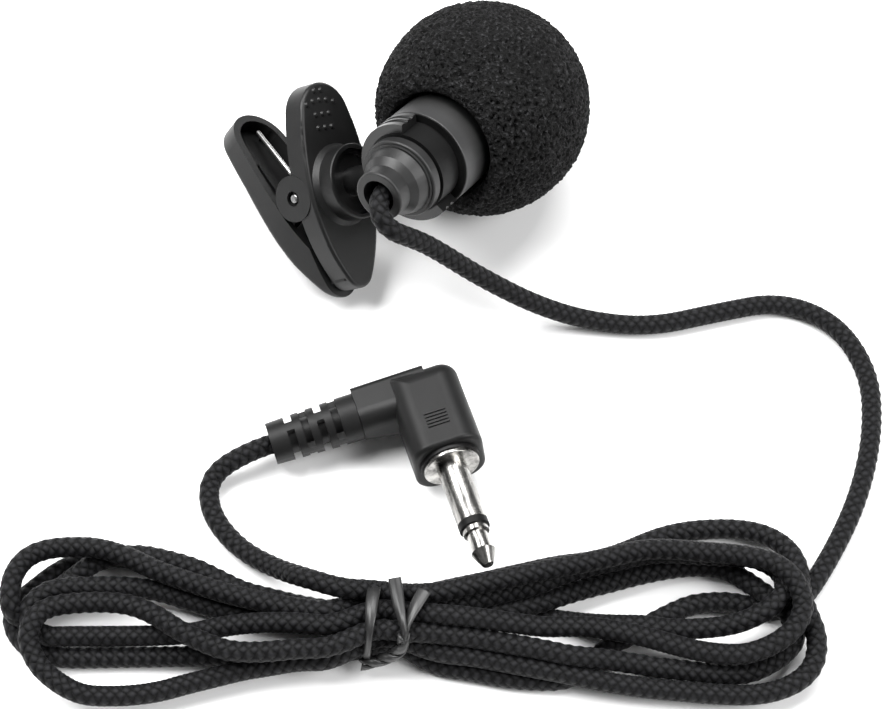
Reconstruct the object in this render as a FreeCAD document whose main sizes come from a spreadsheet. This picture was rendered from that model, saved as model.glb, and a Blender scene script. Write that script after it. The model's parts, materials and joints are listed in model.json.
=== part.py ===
"""Lavalier microphone: foam windscreen, electret head, swivelling lapel clip, braided cord and 3.5 mm plug.

Frame: millimetres, +Z up. The head and its clip rest on the plane z = 0, with the origin under the
middle of their box. The cord lies on the same plane in front of them, in a tied hank.
Each turned piece is drawn about its own Z, as radii against stations, and then placed.
"""
import FreeCAD, Part
import math
import os

import Sketcher

from FreeCAD import Placement, Rotation, Vector

doc = FreeCAD.newDocument("lavalier_microphone")
sheet = doc.addObject("Spreadsheet::Sheet", "Sizes")

# ---------------------------------------------------------------------------------------- sizes
# Millimetres and degrees. Stations of the head count from the windscreen's centre towards the
# cord; stations of the plug count from the corner of its body towards the tip.
SIZES = {
    # pose of the head and the clip
    "head_x": 9.3,
    "head_y": 3.84,
    "head_z": 12.6,
    "head_heading": 236.0,
    "head_elevation": 21.2,
    "head_roll": 133.2,
    "clip_swivel": 20.3,
    # foam windscreen
    "foam_radius": 12.6,
    "foam_bore_radius": 6.15,
    "foam_bore_front": -4.4,
    "foam_mouth_radius": 7.0,
    "foam_mouth_depth": 8.4,
    "foam_rear": 10.2,
    # front housing
    "collar_radius": 6.1,
    "collar_front": -3.6,
    "collar_rear": 13.8,
    "cavity_radius": 5.25,
    "cavity_rear": 12.4,
    "grille_seat_radius": 5.65,
    "grille_seat_rear": -2.8,
    "neck_radius": 5.0,
    "neck_bore_radius": 4.1,
    "neck_rear": 17.1,
    # front grille
    "grille_radius": 5.6,
    "grille_front": -3.3,
    "grille_thickness": 0.5,
    "grille_hole_radius": 0.45,
    "grille_hole_pitch": 1.45,
    # electret capsule
    "felt_radius": 4.8,
    "felt_front": -2.7,
    "felt_rear": -2.2,
    "can_radius": 4.85,
    "can_bore_radius": 4.6,
    "can_floor": -1.9,
    "can_front": -2.15,
    "can_rear": 4.35,
    "can_port_radius": 1.0,
    "can_lip_radius": 4.2,
    "can_lip_front": 4.1,
    "disc_radius": 4.5,
    "diaphragm_front": -1.6,
    "diaphragm_rear": -1.4,
    "backplate_front": -1.3,
    "backplate_radius": 4.1,
    "backplate_thickness": 0.8,
    "backplate_ring": 2.3,
    "spacer_front": -0.4,
    "spacer_rear": 3.3,
    "spacer_bore_radius": 3.8,
    "board_front": 3.4,
    "board_rear": 4.0,
    "boot_radius": 5.2,
    "boot_bore_radius": 4.9,
    "boot_front": -1.2,
    "boot_rear": 5.4,
    "pad_radius": 0.7,
    "pad_offset": 1.9,
    "pad_height": 0.35,
    "transistor_length": 2.6,
    "transistor_width": 2.0,
    "transistor_height": 1.5,
    # wires and cord anchor inside the head
    "wire_radius": 0.3,
    "wire_gap": 0.6,
    "anchor_radius": 1.9,
    "anchor_front": 15.7,
    "anchor_rear": 18.6,
    "anchor_mid_front": 16.4,
    "anchor_mid_rear": 17.9,
    "anchor_neck_radius": 1.3,
    "cord_exit_start": 20.6,
    # rear cap
    "plug_ring_radius": 4.08,
    "plug_ring_front": 13.2,
    "groove_radius": 4.5,
    "groove_rear": 17.5,
    "cap_radius": 4.8,
    "cap_rear": 18.7,
    "step_radius": 4.45,
    "step_rear": 19.0,
    "dome_radius": 4.2,
    "dome_mid_radius": 3.75,
    "dome_mid": 20.3,
    "nozzle_radius": 3.0,
    "nozzle_front": 21.1,
    "nozzle_rear": 23.05,
    "nozzle_bore_radius": 2.0,
    "cap_bore_radius": 3.0,
    "cap_bore_rear": 18.6,
    # swivel holder: an open ring on the neck, a short stem and a disc with a snap post
    "ring_bore_radius": 5.05,
    "ring_radius": 6.15,
    "ring_front": 14.05,
    "ring_width": 3.0,
    "ring_opening": 132.0,
    "ring_rib_depth": 0.22,
    "stem_radius": 1.7,
    "disc_face": 9.4,
    "swivel_radius": 3.85,
    "swivel_rim": 0.45,
    "swivel_dish": 0.35,
    "swivel_thickness": 1.1,
    "post_radius": 1.25,
    "snap_radius": 1.55,
    "snap_thickness": 0.6,
    "snap_gap": 0.08,
    # front jaw: the boss axis crosses its outer face at the clip's own origin
    "jaw_reach": 11.47,
    "jaw_pad_length": 12.4,
    "jaw_teeth_length": 12.4,
    "jaw_half_width": 5.4,
    "jaw_pad_radius": 4.1,
    "jaw_teeth_radius": 2.4,
    "jaw_depth": 2.8,
    "jaw_wall": 1.0,
    "jaw_face": 1.0,
    "boss_height": 2.6,
    "boss_radius": 4.5,
    "boss_foot_radius": 5.0,
    "boss_cup_radius": 3.95,
    "boss_cup_depth": 1.75,
    "post_hole_radius": 1.32,
    "boss_foot_height": 0.7,
    "jaw_block_start": 7.4,
    "jaw_block_width": 4.6,
    "jaw_block_top": 0.8,
    "jaw_block_face": 2.3,
    "jaw_tooth_tip": 2.72,
    "lug_radius": 2.75,
    "lug_thickness": 1.0,
    "dot_radius": 0.4,
    "dot_height": 0.25,
    "dot_pitch": 1.15,
    "dot_shift": 0.7,
    "dot_bow": 0.1,
    # hinge pin and spring
    "pin_depth": 3.2,
    "pin_offset": 0.5,
    "pin_radius": 0.6,
    "pin_end_round": 0.3,
    "pin_end_depth": 0.1,
    "pin_hole_radius": 0.65,
    "pin_counterbore_radius": 0.9,
    "pin_counterbore_depth": 0.5,
    "spring_wire_radius": 0.28,
    "spring_coil_radius": 1.15,
    "spring_turns": 4.5,
    "spring_pitch": 0.6,
    "spring_front_leg": 6.6,
    "spring_rear_leg": 12.6,
    # rear jaw
    "rear_lean": 29.0,
    "rear_pad_length": 14.8,
    "rear_half_width": 5.0,
    "rear_pad_radius": 4.1,
    "rear_rim_depth": 3.1,
    "rear_depth": 5.9,
    "rear_wall": 0.95,
    "rear_floor": 0.9,
    "rear_swell_start": -6.0,
    "rear_swell_end": 4.9,
    "rear_swell_depth": 6.65,
    "rear_nose_start": 5.0,
    "rear_nose_reach": 10.9,
    "rear_nose_radius": 3.2,
    "rear_nose_from": 5.3,
    "rear_nose_tip_top": 6.2,
    "rear_teeth_face": 3.34,
    "rear_teeth_tip": 2.9,
    "tooth_pitch": 1.1,
    "tooth_half_width": 1.9,
    "rear_ear_radius": 1.7,
    "rear_ear_thickness": 1.1,
    # cord
    "cord_diameter": 2.3,
    "tie_x": -1.67,
    "tie_y": -58.3,
    "hank_height": 6.9,
    "lobe_height": 4.8,
    "waist_length": 15.0,
    "band_width": 2.2,
    "band_thickness": 0.7,
    "band_half_inner": 3.5,
    "tie_wire_radius": 0.55,
    # plug
    "plug_x": 2.53,
    "plug_y": -30.8,
    "plug_z": 4.95,
    "plug_heading": -72.7,
    "plug_elevation": 6.0,
    "plug_roll": -85.5,
    "leg_half_width": 4.15,
    "leg_outer_round": 1.8,
    "leg_back": -1.9,
    "leg_front": 9.6,
    "leg_top_round": 0.6,
    "leg_foot_round": 0.5,
    "leg_half_height": 4.1,
    "leg_base_depth": 4.6,
    "leg_corner_radius": 2.5,
    "arm_front_round": 2.0,
    "arm_back_round": 0.8,
    "leg_shoulder_radius": 3.5,
    "leg_shoulder_front": 10.0,
    "arm_length": 8.1,
    "arm_half_thickness": 3.6,
    "arm_half_end": 2.55,
    "grip_line_length": 2.5,
    "grip_line_width": 0.24,
    "grip_line_height": 0.16,
    "grip_line_count": 5,
    "grip_line_pitch": 0.44,
    "grip_line_middle": 5.9,
    "flange_radius": 3.25,
    "flange_back": 10.0,
    "flange_front": 10.5,
    "sleeve_radius": 1.75,
    "sleeve_front": 18.1,
    "sleeve_bore_radius": 1.3,
    "shank_radius": 2.6,
    "shank_back": 3.0,
    "insulator_tube_radius": 1.28,
    "rod_hole_radius": 0.62,
    "insulator_front": 18.95,
    "rod_radius": 0.6,
    "rod_back": 0.6,
    "insulator_back": 1.6,
    "tip_collar_radius": 1.5,
    "tip_collar_front": 19.6,
    "tip_neck_radius": 1.18,
    "tip_shoulder_back": 21.9,
    "tip_shoulder_front": 22.1,
    "tip_shoulder_radius": 1.42,
    "tip_nose_radius": 0.6,
    "tip_front": 23.85,
    "tip_lug_length": 2.6,
    "tip_lug_width": 1.6,
    "sleeve_lug_length": 2.8,
    "sleeve_lug_width": 0.75,
    "sleeve_lug_side": 1.35,
    "lug_plate": 0.35,
    "core_back": -1.2,
    "relief_start": 8.15,
    "relief_collar_end": 9.9,
    "relief_end": 18.6,
    "relief_start_radius": 2.75,
    "relief_end_radius": 2.45,
    "relief_neck_radius": 1.8,
    "relief_bore_radius": 1.2,
    "relief_cuts": 4.0,
    "relief_cut_start": 0.35,
    "relief_end_collar": 1.6,
    "relief_spine": 0.55,
}
for row, (alias, value) in enumerate(SIZES.items(), start=1):
    sheet.set(f"A{row}", alias.replace("_", " "))
    sheet.set(f"B{row}", str(value))
    sheet.setAlias(f"B{row}", alias)
doc.recompute()


def size(alias):
    """The value in the named cell."""
    return float(sheet.get(alias))


def bind(feature, prop, alias):
    """Drive a feature's property from the named cell."""
    feature.setExpression(prop, f"Sizes.{alias}")


# ------------------------------------------------------------------------------------ placements
def aimed(origin, heading, elevation, roll=0.0):
    """Placement that points local Z along a heading and elevation, turned about itself by roll."""
    turn = Rotation(Vector(0, 0, 1), heading)
    tilt = Rotation(Vector(0, 1, 0), 90 - elevation)
    spin = Rotation(Vector(0, 0, 1), roll)
    return Placement(origin, turn * tilt * spin)


head = aimed(
    Vector(size("head_x"), size("head_y"), size("head_z")),
    size("head_heading"),
    size("head_elevation"),
    size("head_roll"),
)
ring_mid = size("ring_front") + size("ring_width") / 2
swivel = math.radians(size("clip_swivel"))
clip = head * Placement(
    Vector(-size("jaw_reach"), 0, ring_mid),
    Rotation(Vector(0, -math.cos(swivel), math.sin(swivel)), Vector(), Vector(1, 0, 0), "ZXY"),
)
pin_point = Vector(size("pin_offset"), 0, -size("pin_depth"))
rear = clip * Placement(pin_point, Rotation(Vector(0, 1, 0), -size("rear_lean")))
plug = aimed(
    Vector(size("plug_x"), size("plug_y"), size("plug_z")),
    size("plug_heading"),
    size("plug_elevation"),
    size("plug_roll"),
)
tie = Vector(size("tie_x"), size("tie_y"), 0)


# --------------------------------------------------------------------------------------- helpers
def origin_plane(body, role):
    """The body's own origin plane with this role, such as XY_Plane."""
    return next(item for item in body.Origin.OriginFeatures if item.Role == role)


def new_body(label, place):
    body = doc.addObject("PartDesign::Body", label)
    body.Label = label
    body.Placement = place
    return body


def sketch_on(body, role, name, lift=0.0):
    """An empty sketch on one of the body's planes, lifted along the plane's normal."""
    sketch = body.newObject("Sketcher::SketchObject", name)
    sketch.AttachmentSupport = (origin_plane(body, role), [""])
    sketch.MapMode = "FlatFace"
    sketch.AttachmentOffset = Placement(Vector(0, 0, lift), Rotation())
    return sketch


AXIS = None


def draw_profile(sketch, corners):
    """A closed outline of (radius, station) cells, each corner driven by its two cells."""
    points = [Vector(size(r) if r else 0.0, size(z), 0) for r, z in corners]
    count = len(points)
    for index, point in enumerate(points):
        sketch.addGeometry(Part.LineSegment(point, points[(index + 1) % count]), False)
    for index in range(count):
        sketch.addConstraint(
            Sketcher.Constraint("Coincident", index, 2, (index + 1) % count, 1)
        )
    for index, (radius, station) in enumerate(corners):
        if radius is AXIS:
            sketch.addConstraint(Sketcher.Constraint("PointOnObject", index, 1, -2))
        else:
            number = sketch.addConstraint(
                Sketcher.Constraint("DistanceX", -1, 1, index, 1, points[index].x)
            )
            bind(sketch, f"Constraints[{number}]", radius)
        number = sketch.addConstraint(
            Sketcher.Constraint("DistanceY", -1, 1, index, 1, points[index].y)
        )
        bind(sketch, f"Constraints[{number}]", station)


def turned(label, place, corners):
    """A body of revolution about its own Z."""
    body = new_body(label, place)
    sketch = sketch_on(body, "XZ_Plane", f"{label}_profile")
    draw_profile(sketch, corners)
    spin = body.newObject("PartDesign::Revolution", f"{label}_turned")
    spin.Profile = sketch
    spin.ReferenceAxis = (sketch, ["V_Axis"])
    spin.Angle = 360
    body.Tip = spin
    sketch.Visibility = False
    doc.recompute()
    return body


def solid_node(label, shape, place=Placement()):
    """A sub-part whose shape is built here from the sheet's sizes."""
    feature = doc.addObject("Part::Feature", label)
    feature.Label = label
    feature.Shape = shape
    feature.Placement = place
    return feature


def cylinder(radius, start, end):
    """Solid cylinder between two points."""
    span = end - start
    return Part.makeCylinder(radius, span.Length, start, span)


def corner_arc(before, corner, after, share=0.45):
    """Arc tangent to both runs at a corner, as large as the shorter run allows."""
    back = (before - corner).normalize()
    ahead = (after - corner).normalize()
    setback = share * min((before - corner).Length, (after - corner).Length)
    half_turn = (math.pi - back.getAngle(ahead)) / 2
    radius = setback / math.tan(half_turn)
    start = corner + back * setback
    end = corner + ahead * setback
    middle_way = (back + ahead).normalize()
    middle = corner + middle_way * (radius / math.cos(half_turn) - radius)
    return start, middle, end, radius


def route_wire(points):
    """Straight runs joined by tangent arcs."""
    edges = []
    radii = []
    last = points[0]
    for before, corner, after in zip(points, points[1:], points[2:]):
        start, middle, end, radius = corner_arc(before, corner, after)
        edges.append(Part.LineSegment(last, start).toShape())
        edges.append(Part.Arc(start, middle, end).toShape())
        radii.append(radius)
        last = end
    edges.append(Part.LineSegment(last, points[-1]).toShape())
    return Part.Wire(edges), radii


def tube(points, radius, name):
    """Round cord along a route, with its radii and volume printed."""
    wire, radii = route_wire(points)
    section = Part.Wire(Part.Circle(points[0], points[1] - points[0], radius).toShape())
    shape = wire.makePipeShell([section], True, False)
    ideal = math.pi * radius * radius * wire.Length
    print(
        f"{name}: length {wire.Length:.1f}, tightest radius {min(radii):.1f},"
        f" volume ratio {shape.Volume / ideal:.4f}"
    )
    return shape, wire.Length


def rounded_face(points):
    """Face of a closed outline whose corners are tangent arcs."""
    edges = []
    count = len(points)
    arcs = [
        corner_arc(points[i - 1], points[i], points[(i + 1) % count], 0.48) for i in range(count)
    ]
    for i, (start, middle, end, _) in enumerate(arcs):
        edges.append(Part.Arc(start, middle, end).toShape())
        edges.append(Part.LineSegment(end, arcs[(i + 1) % count][0]).toShape())
    return Part.Face(Part.Wire(edges))


# ---------------------------------------------------------------------------- the head's turned pieces
def round_edges(body, name, radius, rings):
    """Fillet the circular edges that lie at the named (radius, station) cells."""
    base = body.Tip
    shape = base.Shape
    found = []
    for number, edge in enumerate(shape.Edges, start=1):
        if not isinstance(edge.Curve, Part.Circle):
            continue
        for ring_radius, station in rings:
            same_radius = abs(edge.Curve.Radius - size(ring_radius)) < 1e-4
            if same_radius and abs(edge.Curve.Center.z - size(station)) < 1e-4:
                found.append(f"Edge{number}")
    fillet = body.newObject("PartDesign::Fillet", name)
    fillet.Base = (base, found)
    fillet.Radius = radius
    body.Tip = fillet
    doc.recompute()


def make_windscreen():
    """Foam ball with a blind bore that grips the housing and a flared mouth behind."""
    body = new_body("windscreen_foam", head)
    sketch = sketch_on(body, "XZ_Plane", "foam_profile")
    radius = size("foam_radius")
    rear_station = size("foam_rear")
    lip = math.sqrt(radius ** 2 - rear_station ** 2)
    front = Vector(0, -radius, 0)
    corners = [
        Vector(lip, rear_station, 0),
        Vector(size("foam_mouth_radius"), rear_station, 0),
        Vector(size("foam_bore_radius"), size("foam_mouth_depth"), 0),
        Vector(size("foam_bore_radius"), size("foam_bore_front"), 0),
        Vector(0, size("foam_bore_front"), 0),
        front,
    ]
    arc = sketch.addGeometry(Part.Arc(front, Vector(radius, 0, 0), corners[0]), False)
    for start, end in zip(corners, corners[1:]):
        sketch.addGeometry(Part.LineSegment(start, end), False)
    number = sketch.addConstraint(Sketcher.Constraint("Radius", arc, radius))
    bind(sketch, f"Constraints[{number}]", "foam_radius")
    spin = body.newObject("PartDesign::Revolution", "foam_turned")
    spin.Profile = sketch
    spin.ReferenceAxis = (sketch, ["V_Axis"])
    spin.Angle = 360
    body.Tip = spin
    doc.recompute()


def make_housing():
    body = turned("front_housing", head, [
        ("grille_seat_radius", "collar_front"),
        ("collar_radius", "collar_front"),
        ("collar_radius", "collar_rear"),
        ("neck_radius", "collar_rear"),
        ("neck_radius", "neck_rear"),
        ("neck_bore_radius", "neck_rear"),
        ("neck_bore_radius", "cavity_rear"),
        ("cavity_radius", "cavity_rear"),
        ("cavity_radius", "grille_seat_rear"),
        ("grille_seat_radius", "grille_seat_rear"),
    ])
    round_edges(body, "housing_rounds", 0.2, [
        ("collar_radius", "collar_rear"),
        ("collar_radius", "collar_front"),
    ])


def disc_with_holes(label, radius, front, thickness, hole_radius, centres):
    """A flat disc across the head's axis, pierced at the given centres."""
    body = new_body(label, head)
    outline = sketch_on(body, "XY_Plane", f"{label}_outline", size(front))
    outline.addGeometry(Part.Circle(Vector(), Vector(0, 0, 1), size(radius)), False)
    number = outline.addConstraint(Sketcher.Constraint("Radius", 0, size(radius)))
    bind(outline, f"Constraints[{number}]", radius)
    plate = body.newObject("PartDesign::Pad", f"{label}_plate")
    plate.Profile = outline
    bind(plate, "Length", thickness)
    body.Tip = plate
    doc.recompute()
    whole = plate.Shape.Volume
    holes = sketch_on(body, "XY_Plane", f"{label}_holes", size(front) - 1)
    for index, centre in enumerate(centres):
        holes.addGeometry(Part.Circle(centre, Vector(0, 0, 1), size(hole_radius)), False)
        number = holes.addConstraint(Sketcher.Constraint("Radius", index, size(hole_radius)))
        bind(holes, f"Constraints[{number}]", hole_radius)
    cut = body.newObject("PartDesign::Pocket", f"{label}_piercing")
    cut.Profile = holes
    cut.Type = "ThroughAll"
    cut.Midplane = True
    body.Tip = cut
    doc.recompute()
    assert cut.Shape.Volume < whole, f"{label}: the holes missed the plate"


def hex_centres(pitch, reach):
    """Centres of a hexagonal grid that fit inside a circle."""
    rows = int(reach / pitch) + 1
    centres = []
    for line in range(-rows, rows + 1):
        y = line * pitch * math.sqrt(3) / 2
        for place in range(-rows, rows + 1):
            x = (place + 0.5 * (line % 2)) * pitch
            if math.hypot(x, y) <= reach:
                centres.append(Vector(x, y, 0))
    return centres


def make_capsule():
    """Electret capsule in its rubber boot, front to rear."""
    disc_with_holes(
        "mic_grille", "grille_radius", "grille_front", "grille_thickness", "grille_hole_radius",
        hex_centres(size("grille_hole_pitch"), size("grille_radius") - 1.2),
    )
    turned("capsule_felt", head, [
        (AXIS, "felt_front"),
        ("felt_radius", "felt_front"),
        ("felt_radius", "felt_rear"),
        (AXIS, "felt_rear"),
    ])
    turned("capsule_can", head, [
        ("can_port_radius", "can_front"),
        ("can_radius", "can_front"),
        ("can_radius", "can_rear"),
        ("can_lip_radius", "can_rear"),
        ("can_lip_radius", "can_lip_front"),
        ("can_bore_radius", "can_lip_front"),
        ("can_bore_radius", "can_floor"),
        ("can_port_radius", "can_floor"),
    ])
    turned("capsule_diaphragm", head, [
        (AXIS, "diaphragm_front"),
        ("disc_radius", "diaphragm_front"),
        ("disc_radius", "diaphragm_rear"),
        (AXIS, "diaphragm_rear"),
    ])
    ring = [
        Vector(size("backplate_ring"), 0, 0),
        Vector(0, size("backplate_ring"), 0),
        Vector(-size("backplate_ring"), 0, 0),
        Vector(0, -size("backplate_ring"), 0),
    ]
    disc_with_holes(
        "capsule_backplate", "backplate_radius", "backplate_front", "backplate_thickness",
        "grille_hole_radius", ring,
    )
    turned("capsule_spacer", head, [
        ("spacer_bore_radius", "spacer_front"),
        ("disc_radius", "spacer_front"),
        ("disc_radius", "spacer_rear"),
        ("spacer_bore_radius", "spacer_rear"),
    ])
    turned("capsule_board", head, [
        (AXIS, "board_front"),
        ("disc_radius", "board_front"),
        ("disc_radius", "board_rear"),
        (AXIS, "board_rear"),
    ])
    turned("capsule_boot", head, [
        ("boot_bore_radius", "boot_front"),
        ("boot_radius", "boot_front"),
        ("boot_radius", "boot_rear"),
        ("boot_bore_radius", "boot_rear"),
    ])
    make_transistor()
    make_solder_pads()


def make_transistor():
    """The impedance converter soldered on the board's front face."""
    box = doc.addObject("Part::Box", "capsule_transistor")
    box.Label = "capsule_transistor"
    bind(box, "Length", "transistor_length")
    bind(box, "Width", "transistor_width")
    bind(box, "Height", "transistor_height")
    doc.recompute()
    corner = Vector(
        -size("transistor_length") / 2,
        -size("transistor_width") / 2,
        size("board_front") - size("transistor_height"),
    )
    box.Placement = head * Placement(corner, Rotation())


def make_solder_pads():
    pads = []
    for side in (-1, 1):
        centre = Vector(side * size("pad_offset"), 0, size("board_rear"))
        pads.append(Part.makeCylinder(size("pad_radius"), size("pad_height"), centre))
    solid_node("solder_pads", Part.makeCompound(pads), head)


def make_wires():
    """The two signal wires from the board's pads to the cord anchor."""
    wires = []
    start = size("board_rear") + size("pad_height")
    for side in (-1, 1):
        wide = side * size("pad_offset")
        narrow = side * size("wire_gap")
        points = [
            Vector(wide, 0, start),
            Vector(wide, 0, start + 3.2),
            Vector(narrow, 0.4 * side, start + 6.8),
            Vector(narrow, 0, size("anchor_front")),
        ]
        wires.append(tube(points, size("wire_radius"), "signal wire")[0])
    solid_node("signal_wires", Part.makeCompound(wires), head)


def make_rear_cap():
    """Stepped rubber cap whose nozzle lets the cord out."""
    body = turned("rear_cap", head, [
        ("cap_bore_radius", "plug_ring_front"),
        ("plug_ring_radius", "plug_ring_front"),
        ("plug_ring_radius", "neck_rear"),
        ("groove_radius", "neck_rear"),
        ("groove_radius", "groove_rear"),
        ("cap_radius", "groove_rear"),
        ("cap_radius", "cap_rear"),
        ("step_radius", "cap_rear"),
        ("step_radius", "step_rear"),
        ("dome_radius", "step_rear"),
        ("dome_mid_radius", "dome_mid"),
        ("nozzle_radius", "nozzle_front"),
        ("nozzle_radius", "nozzle_rear"),
        ("nozzle_bore_radius", "nozzle_rear"),
        ("nozzle_bore_radius", "cap_bore_rear"),
        ("cap_bore_radius", "cap_bore_rear"),
    ])
    round_edges(body, "cap_rounds", 0.25, [
        ("cap_radius", "cap_rear"),
        ("nozzle_radius", "nozzle_rear"),
    ])
    turned("cord_anchor", head, [
        (AXIS, "anchor_front"),
        ("anchor_neck_radius", "anchor_front"),
        ("anchor_radius", "anchor_mid_front"),
        ("anchor_radius", "anchor_mid_rear"),
        ("anchor_neck_radius", "anchor_rear"),
        (AXIS, "anchor_rear"),
    ])
    root = doc.addObject("Part::Cylinder", "cord_root")
    root.Label = "cord_root"
    root.setExpression("Radius", "Sizes.cord_diameter / 2")
    root.setExpression("Height", "Sizes.cord_exit_start - Sizes.anchor_rear")
    doc.recompute()
    root.Placement = head * Placement(Vector(0, 0, size("anchor_rear")), Rotation())


# ------------------------------------------------------------------------------------ swivel holder
def make_holder():
    """Open ring round the neck, with a stem, a disc for the clip's cup and a snap post."""
    front = size("ring_front")
    width = size("ring_width")
    opening = size("ring_opening")
    base = Vector(0, 0, front)
    up = Vector(0, 0, 1)
    band = Part.makeCylinder(size("ring_radius"), width, base, up, 360 - opening)
    band = band.cut(Part.makeCylinder(size("ring_bore_radius"), width, base, up, 360))
    band.rotate(Vector(), up, opening / 2)
    for station in (0.33, 0.67):
        groove = Part.makeTorus(
            size("ring_radius") + 0.16, size("ring_rib_depth") + 0.16, base + up * width * station
        )
        band = band.cut(groove)
    back = Vector(-1, 0, 0)
    mid = Vector(0, 0, front + width / 2)

    def along(radius, start, end):
        return Part.makeCylinder(radius, end - start, mid + back * start, back)

    disc_rear = size("disc_face") + size("swivel_thickness")
    disc = along(size("swivel_radius"), size("disc_face"), disc_rear)
    dish = along(
        size("swivel_radius") - size("swivel_rim"),
        size("disc_face") - 0.1,
        size("disc_face") + size("swivel_dish"),
    )
    stem = along(size("stem_radius"), size("ring_bore_radius") + 0.45, disc_rear)
    plate_rear = size("jaw_reach") + size("jaw_face") + size("snap_gap")
    post = along(size("post_radius"), disc_rear - 0.2, plate_rear)
    snap_rear = plate_rear + size("snap_thickness")
    snap = along(size("snap_radius"), plate_rear, snap_rear)
    shape = disc.cut(dish).fuse([band, stem, post, snap]).removeSplitter()
    solid_node("mic_holder", shape, head)


# --------------------------------------------------------------------------------------------- clip
def leaf_face(pad_length, pad_radius, nose_length, nose_radius, half_width):
    """Long leaf outline: round at both ends, with bowed sides tangent to the ends."""

    def tangent_point(reach, end_radius):
        bow = (reach ** 2 + half_width ** 2 - end_radius ** 2) / (2 * (half_width - end_radius))
        away = Vector(reach, bow - half_width, 0).normalize()
        return Vector(reach, 0, 0) + away * end_radius, bow

    def bow_middle(point, bow):
        angle = math.asin(point.x / bow) / 2
        return Vector(bow * math.sin(angle), half_width - bow * (1 - math.cos(angle)), 0)

    nose, nose_bow = tangent_point(nose_length - nose_radius, nose_radius)
    pad, pad_bow = tangent_point(pad_length - pad_radius, pad_radius)
    nose_mid = bow_middle(nose, nose_bow)
    pad_mid = bow_middle(pad, pad_bow)

    def left(point):
        return Vector(-point.x, point.y, 0)

    def down(point):
        return Vector(point.x, -point.y, 0)

    top = Vector(0, half_width, 0)
    edges = [
        Part.Arc(top, nose_mid, nose),
        Part.Arc(nose, Vector(nose_length, 0, 0), down(nose)),
        Part.Arc(down(nose), down(nose_mid), down(top)),
        Part.Arc(down(top), down(left(pad_mid)), down(left(pad))),
        Part.Arc(down(left(pad)), Vector(-pad_length, 0, 0), left(pad)),
        Part.Arc(left(pad), left(pad_mid), top),
    ]
    return Part.Face(Part.Wire([edge.toShape() for edge in edges]))


def slab(face, top, bottom):
    """The face's prism between two heights."""
    placed = face.copy()
    placed.translate(Vector(0, 0, bottom))
    return placed.extrude(Vector(0, 0, top - bottom))


def edges_at_height(shape, height):
    """Edges that lie wholly at one height."""
    return [
        edge for edge in shape.Edges
        if abs(edge.BoundBox.ZMin - height) < 1e-4 and abs(edge.BoundBox.ZMax - height) < 1e-4
    ]


def ridges(start, end, half_width, base, tip):
    """Row of transverse V teeth on a flat, from base height to tip height."""
    pitch = size("tooth_pitch")
    count = int((end - start) / pitch)
    teeth = []
    for index in range(count):
        x = start + index * pitch
        corners = [
            Vector(x, -half_width, base),
            Vector(x + pitch, -half_width, base),
            Vector(x + pitch / 2, -half_width, tip),
        ]
        wire = Part.makePolygon(corners + [corners[0]])
        teeth.append(Part.Face(wire).extrude(Vector(0, 2 * half_width, 0)))
    return teeth


def grip_dots():
    """Low round dots on the front jaw's finger pad, in four rows."""
    pitch = size("dot_pitch")
    rows = [(-11.4, 2), (-10.3, 5), (-8.6, 3), (-7.0, 3)]
    dots = []
    for x, count in rows:
        for place in range(count):
            y = (place - (count - 1) / 2) * pitch - size("dot_shift")
            bow = size("dot_bow") * (place - 2) ** 2 if count == 5 else 0.0
            centre = Vector(x + bow, y, -0.05)
            dots.append(
                Part.makeCone(
                    size("dot_radius"), size("dot_radius") * 0.55,
                    size("dot_height") + 0.05, centre,
                )
            )
    return dots


def across(radius, centre, low, high):
    """Cylinder along Y between two Y values."""
    start = Vector(centre.x, low, centre.z)
    return Part.makeCylinder(radius, high - low, start, Vector(0, 1, 0))


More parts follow.
